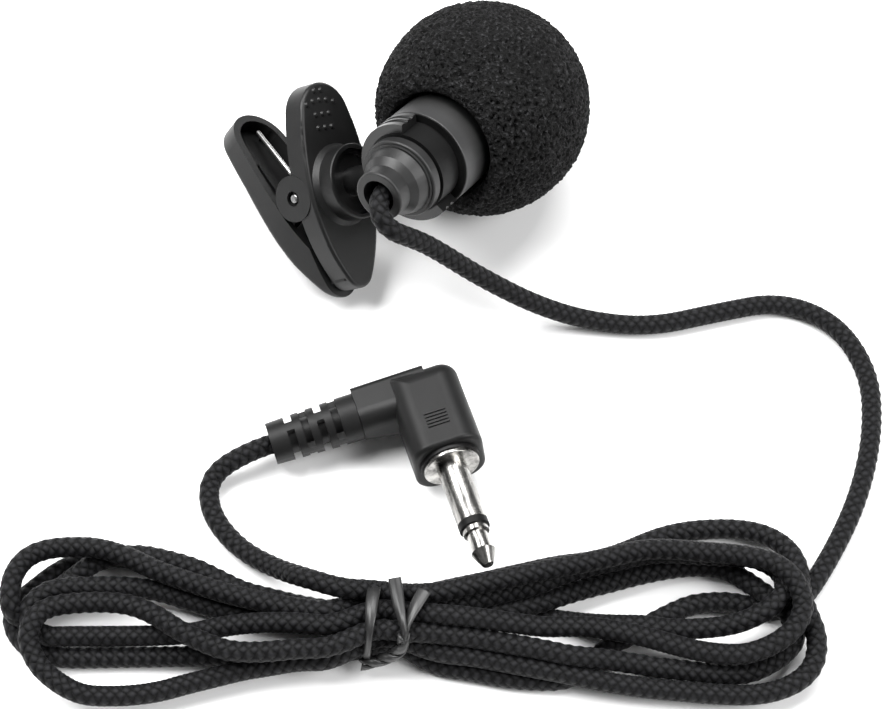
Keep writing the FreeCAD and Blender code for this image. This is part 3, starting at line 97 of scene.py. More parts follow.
HANK = [
    (54.4, 17.8, 1.2), (51.7, 11.6, 1.2), (47.2, 4.1, 1.2), (44.7, 2.1, 1.2),
    (42.7, 2.2, 1.2), (40, 2.8, 1.2), (38, 3.2, 1.2), (35.8, 3.1, 1.2), (33.9, 2.8, 1.2),
    (31.9, 1.9, 1.2), (29.3, 0.5, 1.2), (26.8, -1, 1.2), (24.7, -2, 1.2), (23.2, -3.8, 1.2),
    (21.4, -5.4, 1.2), (19.2, -6.2, 1.2), (16.5, -6.2, 1.2), (13.2, -5.9, 1.2), (9.2, -5, 1.2),
    (5.5, -4.5, 1.1), (1.4, -1.9, 1.8), (-1.4, -2.1, 1.8), (-6, -3.4, 1.3), (-10.7, -3.3, 1.2),
    (-15.1, -3.3, 1.2), (-19.4, -3.3, 1.2), (-25.1, -3.4, 1.2), (-30.7, -3.5, 1.2),
    (-35.4, -3.6, 1.2),
    (-38.8, -3, 1.2), (-40.9, -1.2, 1.2), (-41.9, 1, 1.2), (-41.3, 3.1, 1.2), (-39.5, 4.8, 1.2),
    (-37.2, 6.9, 1.2), (-34.4, 8.3, 1.2), (-30.9, 8.9, 1.2), (-26.8, 8, 1.2), (-22.8, 6.5, 1.2),
    (-18.9, 4.6, 1.2), (-14.3, 3.2, 1.2), (-9.5, 2, 1.2), (-6.4, 1.7, 1.1), (-1.3, -0.2, 1.8),
    (1.4, -0.2, 1.8), (5.5, 1.5, 1.1), (9.1, 1.3, 1.2), (13.9, 1.6, 1.2), (17.6, 1.3, 1),
    (21.6, 0.3, 2), (25, -0.3, 2.9), (28.4, -0.5, 3.4), (30.7, -1, 3.5), (33.5, -1.1, 3.6),
    (36.2, -1, 3.8), (38.6, -0.7, 4.1), (40.6, 0, 4.5), (42.4, 0.9, 4.9), (44.3, 2.9, 4.8),
    (43.9, 5.6, 4.4), (41.2, 7.3, 4.1), (39, 7.4, 4.1), (36.7, 7.6, 4), (33.2, 7.9, 3.8),
    (29.4, 8, 3.8), (26, 7.1, 3.8), (22.9, 6.4, 3.9), (20, 5.5, 4.1), (16.9, 3.9, 4.4),
    (13.1, 2.9, 4.6), (9.2, 1.8, 4.7), (5.5, 1.4, 4.6), (1.4, -0.2, 3.6), (-1.3, -0.2, 3.8),
    (-6.2, 1.2, 3.4), (-9.6, 1.7, 3.6), (-13.2, 2.7, 3.5), (-16.1, 3.5, 3.4), (-19.2, 5.2, 3.4),
    (-22, 6.6, 3.4), (-26.8, 7.9, 3.4), (-29.2, 8, 3.3), (-32.4, 7.6, 3), (-34.4, 6.2, 2.5),
    (-36.2, 5, 2), (-37.5, 3.6, 1.7), (-38.6, 1.9, 1.6), (-40.1, 0.3, 2.3), (-41.6, 0.9, 4.1),
    (-41.7, 3, 5), (-41.4, 5.1, 4.9), (-40.2, 7, 4.9), (-38.1, 8, 4.9), (-35.4, 8.2, 5.1),
    (-32.2, 8, 5.3), (-29.1, 7, 5.4), (-25.5, 5.2, 5.2), (-21.9, 3.9, 5.2), (-17.5, 2.4, 5.2),
    (-13, 1.3, 5.2), (-8.7, 0.7, 4.9), (-6.3, 0.2, 5.5), (-1.3, 2.7, 3.6), (1.4, 2.1, 3.8),
    (5.6, 3.4, 3.6), (9.1, 4.4, 3.1), (14.1, 5.8, 2.6), (19.1, 7.2, 2.3), (23.2, 7.8, 2),
    (26.3, 8.9, 1.7), (29.2, 10.3, 1.6), (31.4, 11.2, 1.5), (34.1, 11.8, 1.5), (36.8, 12, 1.6),
    (39.7, 11.9, 1.8), (42.7, 11.2, 2), (45.1, 9.4, 2.3), (46.1, 7, 2.7), (46.1, 4.8, 3.2),
    (46.2, 2.5, 3.6), (46.7, 0.5, 3.8), (47.4, -1.3, 3.4), (47.5, -3.3, 3), (46.9, -5.2, 2.6),
    (45.3, -6.8, 2.4), (42.7, -7.9, 2.2), (39.7, -8.3, 2.1), (36.4, -8.2, 2.1), (33, -7.9, 2.2),
    (30.1, -7.7, 2.3), (26.8, -7.4, 2.6), (23.2, -6.9, 2.9), (19.9, -6.2, 3.2), (17.1, -5.7, 3.3),
    (13.7, -5, 3.2), (9.8, -4.2, 3.3), (5.4, -3.8, 3.4), (1.5, -2.2, 3.8), (-1.4, -2, 3.8),
    (-6.1, -4.8, 3.4), (-9.4, -4.6, 3.1), (-12.9, -5.1, 2.7), (-15.8, -5.5, 2.5), (-18.8, -6.3, 2.4),
    (-21.7, -7, 2.3), (-24.6, -7.9, 2.3), (-27.5, -8.4, 2.4), (-30.1, -8.6, 2.6), (-33, -8.6, 2.9),
    (-35.4, -7.6, 3.3), (-37.8, -5.8, 3.8), (-39, -3.8, 4.4), (-39.3, -2.3, 5), (-38.6, -0.3, 5.5),
    (-37, 1, 5.2), (-33.8, 1.4, 5.2), (-30.7, 1.5, 5.1), (-27.9, 1.1, 5.2), (-25.2, -0.2, 5.3),
    (-22.6, -2.1, 5.5), (-19.9, -3.4, 5.4), (-17.1, -4.5, 5.4), (-13.5, -4.6, 5.4), (-9.8, -4.2, 5.5),
    (-5.9, -4.2, 5.7), (-1.4, -1.9, 5.8), (1.4, -2.3, 5.9), (5.5, -2.3, 5.2), (9.2, -2.6, 4.9),
    (13, -3.3, 4.9), (17.1, -4, 4.8), (20.1, -4.7, 4.7), (23.5, -4.8, 4.1), (26.5, -5, 3.5),
    (29.5, -5.4, 3.1), (32.5, -5.6, 2.7), (35.3, -5.8, 2.4), (37.8, -5.9, 2.1), (40.3, -5.6, 2),
    (42.6, -4.4, 2), (44.5, -2.9, 2), (45.4, -1.5, 2.1), (45.1, 0.3, 2.4), (44.1, 1.6, 3.1),
    (42.8, 2.8, 3), (41.3, 4.1, 2.9), (39.6, 5.8, 2.2), (37.5, 7.1, 1.8), (35, 7.4, 1.6),
    (32.3, 7.2, 1.6), (28.3, 6.3, 1.7), (25.2, 5.3, 1.9), (22.5, 4.5, 2.1), (19.7, 3.5, 2.4),
    (17.4, 2.4, 2.9), (13.1, 1.3, 3.1), (9.2, 1.1, 2.9), (5.5, 1.4, 2.7), (1.4, 2.4, 1.6),
    (-1.3, 2.3, 1.7), (-6.3, 1.6, 2.3), (-9.7, 1, 2.2), (-12.9, 0.8, 2.2), (-17.6, 1.4, 2.3),
    (-22.1, 2.8, 2.5), (-25.5, 3.9, 2.7), (-29.2, 4.3, 3), (-32.8, 4.1, 3.4), (-36, 3.8, 3.9),
    (-37.9, 3.2, 4), (-39.7, 1.5, 3.9), (-39.5, -0.7, 3.4), (-37.5, -1.8, 3), (-35.2, -1.7, 3),
    (-30.5, -1.7, 3), (-26.1, -1.7, 3.1), (-21.8, -1.6, 3.4), (-18.4, -1.1, 4.2), (-14.5, -0.9, 5),
    (-9.9, -1.2, 5.8), (-6, -1.6, 5.5), (-1.4, 0.3, 6), (1.4, 0.1, 5.8), (5.6, -0.6, 6.6),
    (9.1, -0.8, 6.4), (13.8, -1.4, 6.1), (17.1, -1.7, 5.6), (19.6, -1.5, 5.3), (22.5, -1.4, 5),
    (24.7, -1.7, 4.8), (27.9, -2.3, 4.7), (31, -3.2, 4.6), (33.5, -3.9, 4.5), (36.1, -4.4, 4.6),
    (39, -4.6, 4.7), (41.6, -3.9, 4.9), (43.9, -2.6, 5.2), (45.4, -1, 5.6), (46, 1.1, 6),
    (45.2, 3.5, 6.5), (43.3, 5.5, 6.6), (40.5, 6.4, 6.4), (37.5, 6.9, 6.2), (34.9, 7.1, 6.1),
    (31.7, 7.5, 6), (28.7, 7.5, 6), (25.6, 6.7, 6.1), (22.3, 5.8, 6.2), (18.9, 5.1, 6.4),
    (14, 3.8, 6.6), (9, 2.7, 6.6), (5.6, 1.9, 6.6), (1.4, 2.2, 5.7), (-1.3, 2.7, 5.7),
    (-4.8, 2.3, 6.9), (-8.4, 3.6, 6.6), (-12.4, 6.6, 2.6), (-17, 9.8, 1.2),
]
TAIL = [(-20.4, 14.2, 1.2), (-20.6, 18.6, 1.7)]
RELIEF = [(-17.98, -37.37, 3.26), (-15.13, -36.46, 3.5)]


def mesh_object(name, vertices, faces, smooth=True):
    mesh = bpy.data.meshes.new(name)
    mesh.from_pydata(vertices, [], faces)
    mesh.validate()
    if smooth:
        mesh.polygons.foreach_set("use_smooth", [True] * len(mesh.polygons))
    made = bpy.data.objects.new(name, mesh)
    bpy.context.scene.collection.objects.link(made)
    return made


def tube_faces(rings, around):
    """Quads between neighbouring rings of vertices, and a cap on each end."""
    faces = []
    for ring in range(rings - 1):
        for k in range(around):
            a, b = ring * around + k, ring * around + (k + 1) % around
            faces.append((a, b, b + around, a + around))
    faces.append(tuple(reversed(range(around))))
    faces.append(tuple((rings - 1) * around + k for k in range(around)))
    return faces


def nurbs_line(points, resolution=16):
    """Points along a NURBS curve of order 3 through these control points."""
    curve = bpy.data.curves.new("route", "CURVE")
    curve.dimensions = "3D"
    curve.resolution_u = resolution
    spline = curve.splines.new("NURBS")
    spline.points.add(len(points) - 1)
    for spot, point in zip(spline.points, points):
        spot.co = (*point, 1.0)
    spline.order_u = 3
    spline.use_endpoint_u = True
    holder = bpy.data.objects.new("route", curve)
    bpy.context.scene.collection.objects.link(holder)
    bare = bpy.data.meshes.new_from_object(holder)
    line = [vertex.co.copy() for vertex in bare.vertices]
    bpy.data.objects.remove(holder)
    bpy.data.curves.remove(curve)
    bpy.data.meshes.remove(bare)
    return line


def even_steps(line, step):
    """The same line with its points a fixed step apart, and its length."""
    lengths = [0.0]
    for a, b in zip(line, line[1:]):
        lengths.append(lengths[-1] + (b - a).length)
    count = max(2, round(lengths[-1] / step))
    even = []
    index = 0
    for number in range(count + 1):
        want = lengths[-1] * number / count
        while index < len(line) - 2 and lengths[index + 1] < want:
            index += 1
        span = lengths[index + 1] - lengths[index]
        share = (want - lengths[index]) / span if span > 0 else 0.0
        even.append(line[index].lerp(line[index + 1], min(1.0, share)))
    return even, lengths[-1]


def carried_frames(line):
    """A tangent and two normals at each point, carried along without twist."""
    frames = []
    side = None
    for index, point in enumerate(line):
        ahead = line[min(index + 1, len(line) - 1)]
        behind = line[max(index - 1, 0)]
        tangent = (ahead - behind).normalized()
        if side is None:
            side = tangent.orthogonal()
        side = (side - tangent * side.dot(tangent)).normalized()
        frames.append((point, tangent, side, tangent.cross(side)))
    return frames


BRAID_CELLS = 5
BRAID_PITCH = 1.2
BRAID_DEPTH = 0.15
BRAID_MIDDLE = 0.7
BRAID_LONG = 0.4
BRAID_SHORT = 0.9
BRAID_SEGMENTS = 30
BRAID_STEP = 0.3 * MM
PATH_STRIDE = 3


def braid_height(around, along):
    """Height of the plait, 0 in its grooves and 1 on its stitches."""
    right = around * BRAID_CELLS + along / BRAID_PITCH
    left = around * BRAID_CELLS - along / BRAID_PITCH
    odd = (math.floor(right) + math.floor(left)) % 2
    powers = (BRAID_SHORT, BRAID_LONG) if odd else (BRAID_LONG, BRAID_SHORT)
    return (math.sin(math.pi * (right % 1.0)) ** powers[0]
            * math.sin(math.pi * (left % 1.0)) ** powers[1])


def braided_tube(name, line, diameter):
    """A mesh tube along the line, its surface raised into plaited stitches, with a UV map in mm."""
    segments = BRAID_SEGMENTS
    even, length = even_steps(line, BRAID_STEP)
    frames = carried_frames(even)
    last = len(frames) - 1
    radius = diameter / 2
    vertices = []
    for ring, (point, _, side, up) in enumerate(frames):
        along = ring * length / last / MM
        for segment in range(segments):
            around = segment / segments
            height = braid_height(around, along)
            reach = radius + (height - BRAID_MIDDLE) * BRAID_DEPTH * MM
            angle = 2 * math.pi * around
            vertex = point + (side * math.cos(angle) + up * math.sin(angle)) * reach
            vertex.z = max(vertex.z, FLOOR_GAP)
            vertices.append(vertex)
    tube = mesh_object(name, vertices, tube_faces(len(frames), segments))
    layer = tube.data.uv_layers.new(name="plait")
    circumference = math.pi * diameter / MM
    for polygon in tube.data.polygons:
        for loop in polygon.loop_indices:
            vertex = tube.data.loops[loop].vertex_index
            ring, segment = divmod(vertex, segments)
            turn = segment / segments
            if polygon.loop_total == 4 and segment == 0:
                others = [tube.data.loops[k].vertex_index % segments for k in polygon.loop_indices]
                turn = 1.0 if max(others) == segments - 1 else 0.0
            along = ring * length / last / MM
            layer.data[loop].uv = (turn * circumference, along)
    return tube, [tuple(point) for point in even], length


def make_cord():
    points = [Vector(point) for point in MOUTH]
    points += [TIE_FOOT + Vector(point) for point in LEAD + HANK + TAIL]
    points += [Vector(point) for point in RELIEF]
    line = nurbs_line([point * MM for point in points])
    tube, path, length = braided_tube("braided_cord", line, CORD_DIAMETER * MM)
    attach(tube, "mic")
    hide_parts("cord_lead", "cord_hank", "cord_tail")
    print(f"cord length {length:.3f} m")
    return tube, path[:-2:PATH_STRIDE] + [path[-1]], length


# ------------------------------------------------------------------------------------------ tie
# Each strip of the wire tie is a list of stations: a middle in millimetres from the foot of the
# tie, then half its width as a vector.
TIE_LOOP = [
    ((-1.1, 3.5, 5.6), (0.70, 0.0, 0.0)), ((-1.3, 2.3, 7.0), (0.78, 0.05, 0.0)),
    ((-1.5, 0.6, 7.65), (0.72, 0.0, 0.0)), ((-1.6, -1.3, 7.7), (0.62, 0.0, 0.1)),
    ((-1.8, -2.9, 7.0), (0.38, -0.15, 0.4)), ((-2.0, -4.0, 5.2), (0.3, -0.5, 0.1)),
    ((-2.2, -4.2, 3.2), (0.5, -0.3, 0.0)), ((-2.1, -3.8, 1.2), (0.7, 0.0, 0.0)),
    ((-1.8, -2.4, 0.45), (0.75, 0.0, 0.0)), ((-1.4, 0.0, 0.4), (0.75, 0.0, 0.0)),
    ((-1.1, 2.4, 0.45), (0.75, 0.0, 0.0)), ((-1.0, 3.9, 1.2), (0.75, 0.0, 0.0)),
    ((-1.0, 4.1, 3.2), (0.75, 0.0, 0.0)), ((-1.1, 3.5, 5.6), (0.70, 0.0, 0.0)),
]
TIE_END_LONG = [
    ((0.95, 2.75, 8.8), (0.68, 0.22, 0.0)), ((1.1, 2.0, 8.55), (0.72, 0.2, 0.0)),
    ((1.35, 0.4, 8.2), (0.7, 0.12, 0.1)), ((1.65, -1.1, 8.0), (0.55, 0.05, 0.2)),
    ((1.95, -2.4, 7.75), (0.3, 0.0, 0.45)), ((2.1, -3.4, 7.2), (0.1, -0.1, 0.6)),
    ((1.9, -3.9, 6.2), (0.3, -0.4, 0.3)),
]
TIE_END_SHORT = [
    ((4.25, 1.6, 8.0), (0.66, -0.42, 0.1)), ((3.6, 0.4, 8.1), (0.66, -0.4, 0.15)),
    ((2.95, -0.9, 7.95), (0.55, -0.3, 0.3)), ((2.4, -2.2, 7.6), (0.3, -0.15, 0.5)),
    ((2.1, -3.2, 7.0), (0.15, -0.3, 0.5)), ((1.9, -3.8, 6.0), (0.3, -0.4, 0.3)),
]
TIE_TWIST = [
    (2.0, -3.3, 7.1), (1.95, -3.9, 6.1), (1.5, -4.25, 4.9), (0.6, -4.45, 3.9), (-0.5, -4.55, 3.2),
    (-1.6, -4.6, 2.6), (-2.7, -4.65, 2.1),
]
TWIST_TURNS = 1.9
TWIST_REACH = 0.42
TWIST_HALF_WIDTH = 0.62
TWIST_STEP = 0.12
STRIP_THICKNESS = 0.3
STRIP_SECTION = [
    (-1.0, 0.0), (-0.93, -0.5), (-0.6, -0.62), (-0.25, -1.0), (0.25, -1.0), (0.6, -0.62),
    (0.93, -0.5), (1.0, 0.0), (0.93, 0.5), (0.6, 0.62), (0.25, 1.0), (-0.25, 1.0), (-0.6, 0.62),
    (-0.93, 0.5),
]


def strip(middles, halves):
    """Vertices and faces of a flat strip whose middle is thicker, where its wire runs."""
    vertices = []
    last = len(middles) - 1
    for index, (middle, half) in enumerate(zip(middles, halves)):
        tangent = (middles[min(index + 1, last)] - middles[max(index - 1, 0)]).normalized()
        half = half - tangent * half.dot(tangent)
        thick = tangent.cross(half).normalized()
        for across, up in STRIP_SECTION:
            corner = TIE_FOOT + middle + half * across + thick * (up * STRIP_THICKNESS)
            vertices.append(corner * MM)
    return vertices, tube_faces(len(middles), len(STRIP_SECTION))


def shaped_strip(stations):
    middles = nurbs_line([Vector(middle) for middle, _ in stations])
    halves = nurbs_line([Vector(half) for _, half in stations])
    return strip(middles, halves)


def twisted_pair():
    """The two strips wound round each other."""
    line, _ = even_steps(nurbs_line([Vector(point) for point in TIE_TWIST]), TWIST_STEP)
    frames = carried_frames(line)
    pair = []
    for start in (0.0, math.pi):
        middles, halves = [], []
        for index, (point, _, side, up) in enumerate(frames):
            turn = 2 * math.pi * TWIST_TURNS * index / (len(frames) - 1) + start
            out = side * math.cos(turn) + up * math.sin(turn)
            middles.append(point + out * TWIST_REACH)
            halves.append((up * math.cos(turn) - side * math.sin(turn)) * TWIST_HALF_WIDTH)
        pair.append(strip(middles, halves))
    return pair


def make_tie():
    """Plastic-covered wire tie: a loop round the strands, a twist in front and two free ends."""
    parts = [shaped_strip(stations) for stations in (TIE_LOOP, TIE_END_LONG, TIE_END_SHORT)]
    parts += twisted_pair()
    vertices, faces = [], []
    for part_vertices, part_faces in parts:
        base = len(vertices)
        vertices += part_vertices
        faces += [tuple(index + base for index in face) for face in part_faces]
    made = mesh_object("wire_tie", vertices, faces)
    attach(made, "mic")
    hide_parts("twist_tie")
    return made


# ------------------------------------------------------------------------------------ windscreen
FOAM_AXIAL = 12.95
FOAM_RADIAL = 12.65
FOAM_REAR = 9.75
FOAM_BORE = 6.2
FOAM_BORE_END = -4.3
FOAM_BORE_EYE = 0.02
FOAM_BORE_MIDDLE = 2.0
FOAM_BORE_RINGS = 4
FOAM_SEGMENTS = 380
FOAM_ROWS = 205
LIP_STEPS = 10
LIP_INSET = 0.35
LIP_BULGE = 0.45
LIP_DEPTH = 0.9
FLARE_WIDTH = 0.1
FLARE_START = 2.0
FLARE_END = 3.2
GRAIN_SIZE = 0.42
GRAIN_HEIGHT = 0.22
FINE_SIZE = 0.22
FINE_HEIGHT = 0.1
FINE_SHIFT = Vector((9.0, 4.0, 2.0))
LUMPS_PER_MM = 0.16
LUMP_HEIGHT = 0.12
PIT_BIAS = 0.1
PIT_DEPTH = 0.7


def foam_profile():
    """Radius and station of each ring: out of the bore, over the lip, round the ball to its front."""
    stop = math.acos(FOAM_REAR / FOAM_AXIAL)
    profile = []
    for row in range(FOAM_ROWS + 1):
        angle = math.pi - (math.pi - stop) * row / FOAM_ROWS
        profile.append((FOAM_RADIAL * math.sin(angle), FOAM_AXIAL * math.cos(angle)))
    lip_out, lip_station = profile[-1]
    lip_in = FOAM_BORE + LIP_INSET
    for step in range(1, LIP_STEPS + 1):
        angle = math.pi / 2 * step / LIP_STEPS
        share = math.sin(angle)
        profile.append((
            lip_out - (lip_out - lip_in) * share,
            lip_station + LIP_BULGE * math.sin(2 * angle) - LIP_DEPTH * (1 - math.cos(angle)),
        ))
    profile += [
        (FOAM_BORE + FLARE_WIDTH, lip_station - FLARE_START), (FOAM_BORE, lip_station - FLARE_END),
        (FOAM_BORE, FOAM_BORE_MIDDLE), (FOAM_BORE, FOAM_BORE_END), (FOAM_BORE_EYE, FOAM_BORE_END),
    ]
    return profile[::-1]


def foam_relief(offset):
    """Height of the foam's skin in millimetres over its plain ball: lumps, grains and pores."""
    grain = noise.noise(offset / GRAIN_SIZE)
    fine = noise.noise(offset / FINE_SIZE + FINE_SHIFT)
    lump = noise.noise(offset * LUMPS_PER_MM) * LUMP_HEIGHT
    pit = min(0.0, grain + PIT_BIAS) * PIT_DEPTH
    return lump + fine * FINE_HEIGHT + grain * GRAIN_HEIGHT + pit


def make_windscreen():
    """Foam ball turned about the head's axis, with a lipped mouth and pores pressed into it."""
    profile = foam_profile()
    other = HEAD_AXIS.cross(HEAD_SIDE)
    vertices = []
    for ring, (radius, station) in enumerate(profile):
        for segment in range(FOAM_SEGMENTS):
            angle = 2 * math.pi * (segment + 0.5 * (ring % 2)) / FOAM_SEGMENTS
            out = HEAD_SIDE * math.cos(angle) + other * math.sin(angle)
            offset = out * radius + HEAD_AXIS * station
            if ring >= FOAM_BORE_RINGS:
                offset += offset.normalized() * foam_relief(offset)
            place = FOAM_CENTRE + offset * MM
            place.z = max(place.z, FLOOR_GAP)
            vertices.append(place)
    made = mesh_object("foam_ball", vertices, tube_faces(len(profile), FOAM_SEGMENTS))
    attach(made, "windscreen")
    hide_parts("windscreen_foam")
    return made


# ---------------------------------------------------------------------------------------- spring
# The clip's torsion spring, in millimetres from the middle of the pin: along the jaws, along the
# pin, and out towards the swivel. The coil stays with the front jaw and its last half turn and
# leg with the rear one, so the wire winds up as the clip opens.
SPRING_RADIUS = 1.15
SPRING_WIRE = 0.27
SPRING_TURNS = 4.5
SPRING_PITCH = 0.6
SPRING_SPLIT = 4.0
SPRING_LAP = 0.14
SPRING_FRONT_TIP = (-6.6, 1.35, 1.82)
SPRING_REAR_TIP = (-9.1, 0.9, -9.25)
SPRING_STEPS = 28
SPRING_LEG_SHARE = 0.97
WIRE_SEGMENTS = 14
WIRE_DOME = [(-1.0, 0.02), (-0.7, 0.7), (-0.3, 0.95)]


def clip_point(offset):
    """A point of the row frame from an offset in the clip's own directions."""
    hinge = JOINTS["clip_open"]
    pin = Vector(hinge["axis"]).normalized()
    along = pin.cross(HEAD_SIDE)
    shift = along * offset[0] + pin * offset[1] + HEAD_SIDE * offset[2]
    return Vector(hinge["pos_m"]) + shift * MM


def spring_turn(turn):
    angle = 2 * math.pi * turn
    return (
        SPRING_RADIUS * math.sin(angle), (SPRING_TURNS / 2 - turn) * SPRING_PITCH,
        SPRING_RADIUS * math.cos(angle),
    )


def wire(name, line, radius):
    """A round wire along the line, its ends domed."""
    frames = carried_frames(line)
    extra = len(WIRE_DOME)
    frames = [frames[0]] * extra + frames + [frames[-1]] * extra
    last = len(frames) - 1
    vertices = []
    for index, (point, tangent, side, up) in enumerate(frames):
        shift, share = 0.0, 1.0
        if index < extra:
            shift, share = WIRE_DOME[index]
        elif index > last - extra:
            shift, share = WIRE_DOME[last - index]
            shift = -shift
        for segment in range(WIRE_SEGMENTS):
            angle = 2 * math.pi * segment / WIRE_SEGMENTS
            out = side * math.cos(angle) + up * math.sin(angle)
            vertices.append(point + out * (radius * share) + tangent * (shift * radius))
    return mesh_object(name, vertices, tube_faces(len(frames), WIRE_SEGMENTS))


def make_spring():
    """The coil with its front leg, and the rear leg with the half turn that it bends from."""
    coil_steps = int((SPRING_SPLIT + SPRING_LAP) * SPRING_STEPS)
    turns = [step / SPRING_STEPS for step in range(coil_steps + 1)]
    coil = wire(
        "spring_coil",
        [clip_point(SPRING_FRONT_TIP)] + [clip_point(spring_turn(turn)) for turn in turns],
        SPRING_WIRE * MM,
    )
    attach(coil, "clip_front")
    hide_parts("clip_spring")
    leg_steps = int((SPRING_TURNS - SPRING_SPLIT) * SPRING_STEPS)
    rest = [SPRING_SPLIT + step / SPRING_STEPS for step in range(leg_steps + 1)]
    leg = wire(
        "spring_rear_leg",
        [clip_point(spring_turn(turn)) for turn in rest] + [clip_point(SPRING_REAR_TIP)],
        SPRING_WIRE * SPRING_LEG_SHARE * MM,
    )
    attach(leg, "clip_rear")
    return coil, leg


# ------------------------------------------------------------------------------------- materials
PLUG_HEADING = math.radians(-17.3)
MOUTH_STATION = 9.6
MOUTH_SHADE = 2.6
COLLAR_END = 13.7
MOULDED_SPREAD = 0.06


class Surface:
    """A Principled material with short helpers for its nodes."""

    def __init__(self, name, colour, roughness, metallic=0.0):
        self.material = bpy.data.materials.new(name)
        self.material.use_nodes = True
        self.tree = self.material.node_tree
        self.shader = next(n for n in self.tree.nodes if n.type == "BSDF_PRINCIPLED")
        self.shader.inputs["Base Color"].default_value = (*colour, 1.0)
        self.shader.inputs["Roughness"].default_value = roughness
        self.shader.inputs["Metallic"].default_value = metallic
        self.place = self.tree.nodes.new("ShaderNodeTexCoord")
        self.bumps = None

    def node(self, kind, **values):
        made = self.tree.nodes.new(kind)
        for key, value in values.items():
            if hasattr(made, key):
                setattr(made, key, value)
            else:
                made.inputs[key].default_value = value
        return made

    def link(self, output, target):
        self.tree.links.new(output, target)

    def noise(self, scale, detail=4.0, roughness=0.55):
        made = self.node("ShaderNodeTexNoise", Scale=scale, Detail=detail, Roughness=roughness)
        self.link(self.place.outputs["Object"], made.inputs["Vector"])
        return made.outputs["Fac"]

    def ramp(self, value, stops):
        made = self.tree.nodes.new("ShaderNodeValToRGB")
        elements = made.color_ramp.elements
        while len(elements) < len(stops):
            elements.new(0.5)
        for element, (place, colour) in zip(elements, stops):
            element.position = place
            element.color = (*colour, 1.0)
        self.link(value, made.inputs["Fac"])
        return made.outputs["Color"]

    def spread(self, value, low, high):
        made = self.tree.nodes.new("ShaderNodeMapRange")
        made.inputs["To Min"].default_value = low
        made.inputs["To Max"].default_value = high
        self.link(value, made.inputs["Value"])
        return made.outputs["Result"]

    def colour(self, value, low, high):
        self.link(self.ramp(value, [(0.3, low), (0.7, high)]), self.shader.inputs["Base Color"])

    def roughness(self, value, low, high):
        self.link(self.spread(value, low, high), self.shader.inputs["Roughness"])

    def bump(self, height, strength, distance):
        made = self.tree.nodes.new("ShaderNodeBump")
        made.inputs["Strength"].default_value = strength
        made.inputs["Distance"].default_value = distance
        self.link(height, made.inputs["Height"])
        if self.bumps is not None:
            self.link(self.bumps, made.inputs["Normal"])
        self.bumps = made.outputs["Normal"]
        self.link(self.bumps, self.shader.inputs["Normal"])

    def math(self, operation, a, b=None):
        made = self.tree.nodes.new("ShaderNodeMath")
        made.operation = operation
        for slot, value in enumerate((a, b)):
            if value is None:
                continue
            if isinstance(value, (int, float)):
                made.inputs[slot].default_value = value
            else:
                self.link(value, made.inputs[slot])
        return made.outputs["Value"]


def moulded_skin(surface, roughness, grain):
    """The relief and uneven gloss that all the moulded plastics share."""
    low, high = roughness - MOULDED_SPREAD, roughness + MOULDED_SPREAD
    surface.roughness(surface.noise(420.0, 6.0), low, high)
    surface.bump(surface.noise(9000.0, 2.0), grain, 0.00002)
    surface.bump(surface.noise(600.0, 3.0), 0.12, 0.0001)


def moulded(name, shade, roughness, grain=0.25, tint=(1.0, 1.0, 1.01), gloss=0.5):
    """Moulded black plastic: fine spark-eroded grain, faint flow marks, rubbed spots."""
    low = tuple(shade * 0.82 * t for t in tint)
    high = tuple(shade * 1.2 * t for t in tint)
    surface = Surface(name, (shade, shade, shade), roughness)
    surface.shader.inputs["Specular IOR Level"].default_value = gloss
    surface.colour(surface.noise(260.0), low, high)
    moulded_skin(surface, roughness, grain)
    return surface.material


def collar_plastic(name, shade, roughness):
    """Moulded plastic with painted shade: its colour darkens towards the windscreen's mouth, where
    the foam shades it.
    """
    surface = Surface(name, (shade, shade, shade), roughness)
    station = surface.node("ShaderNodeVectorMath", operation="DOT_PRODUCT")
    surface.link(surface.place.outputs["Object"], station.inputs[0])
    station.inputs[1].default_value = HEAD_AXIS
    start = HEAD_AXIS.dot(FOAM_CENTRE)
    # Painted shade: this ramps from 0 at the foam's mouth to 1 clear of it, and darkens the colour
    # ramp below.
    bare = surface.tree.nodes.new("ShaderNodeMapRange")
    surface.link(station.outputs["Value"], bare.inputs["Value"])
    bare.inputs["From Min"].default_value = start + MOUTH_STATION * MM
    bare.inputs["From Max"].default_value = start + (MOUTH_STATION + MOUTH_SHADE) * MM
    grain = surface.spread(surface.noise(260.0), -0.12, 0.12)
    value = surface.math("ADD", bare.outputs["Result"], grain)
    surface.link(surface.ramp(value, [
        (0.05, (shade * 0.15, shade * 0.15, shade * 0.15)), (0.75, (shade, shade, shade)),
        (1.0, (shade * 1.25, shade * 1.25, shade * 1.27)),
    ]), surface.shader.inputs["Base Color"])
    moulded_skin(surface, roughness, 0.25)
    return surface.material


def plated(name, colour, roughness, grain=0.06):
    """Plated metal: fine turning lines and small scuffs."""
    surface = Surface(name, colour, roughness, metallic=1.0)
    surface.colour(surface.noise(500.0), tuple(c * 0.88 for c in colour), colour)
    surface.roughness(surface.noise(1500.0, 6.0), roughness * 0.7, roughness * 1.5)
    surface.bump(surface.noise(4000.0, 5.0), grain, 0.00002)
    return surface.material


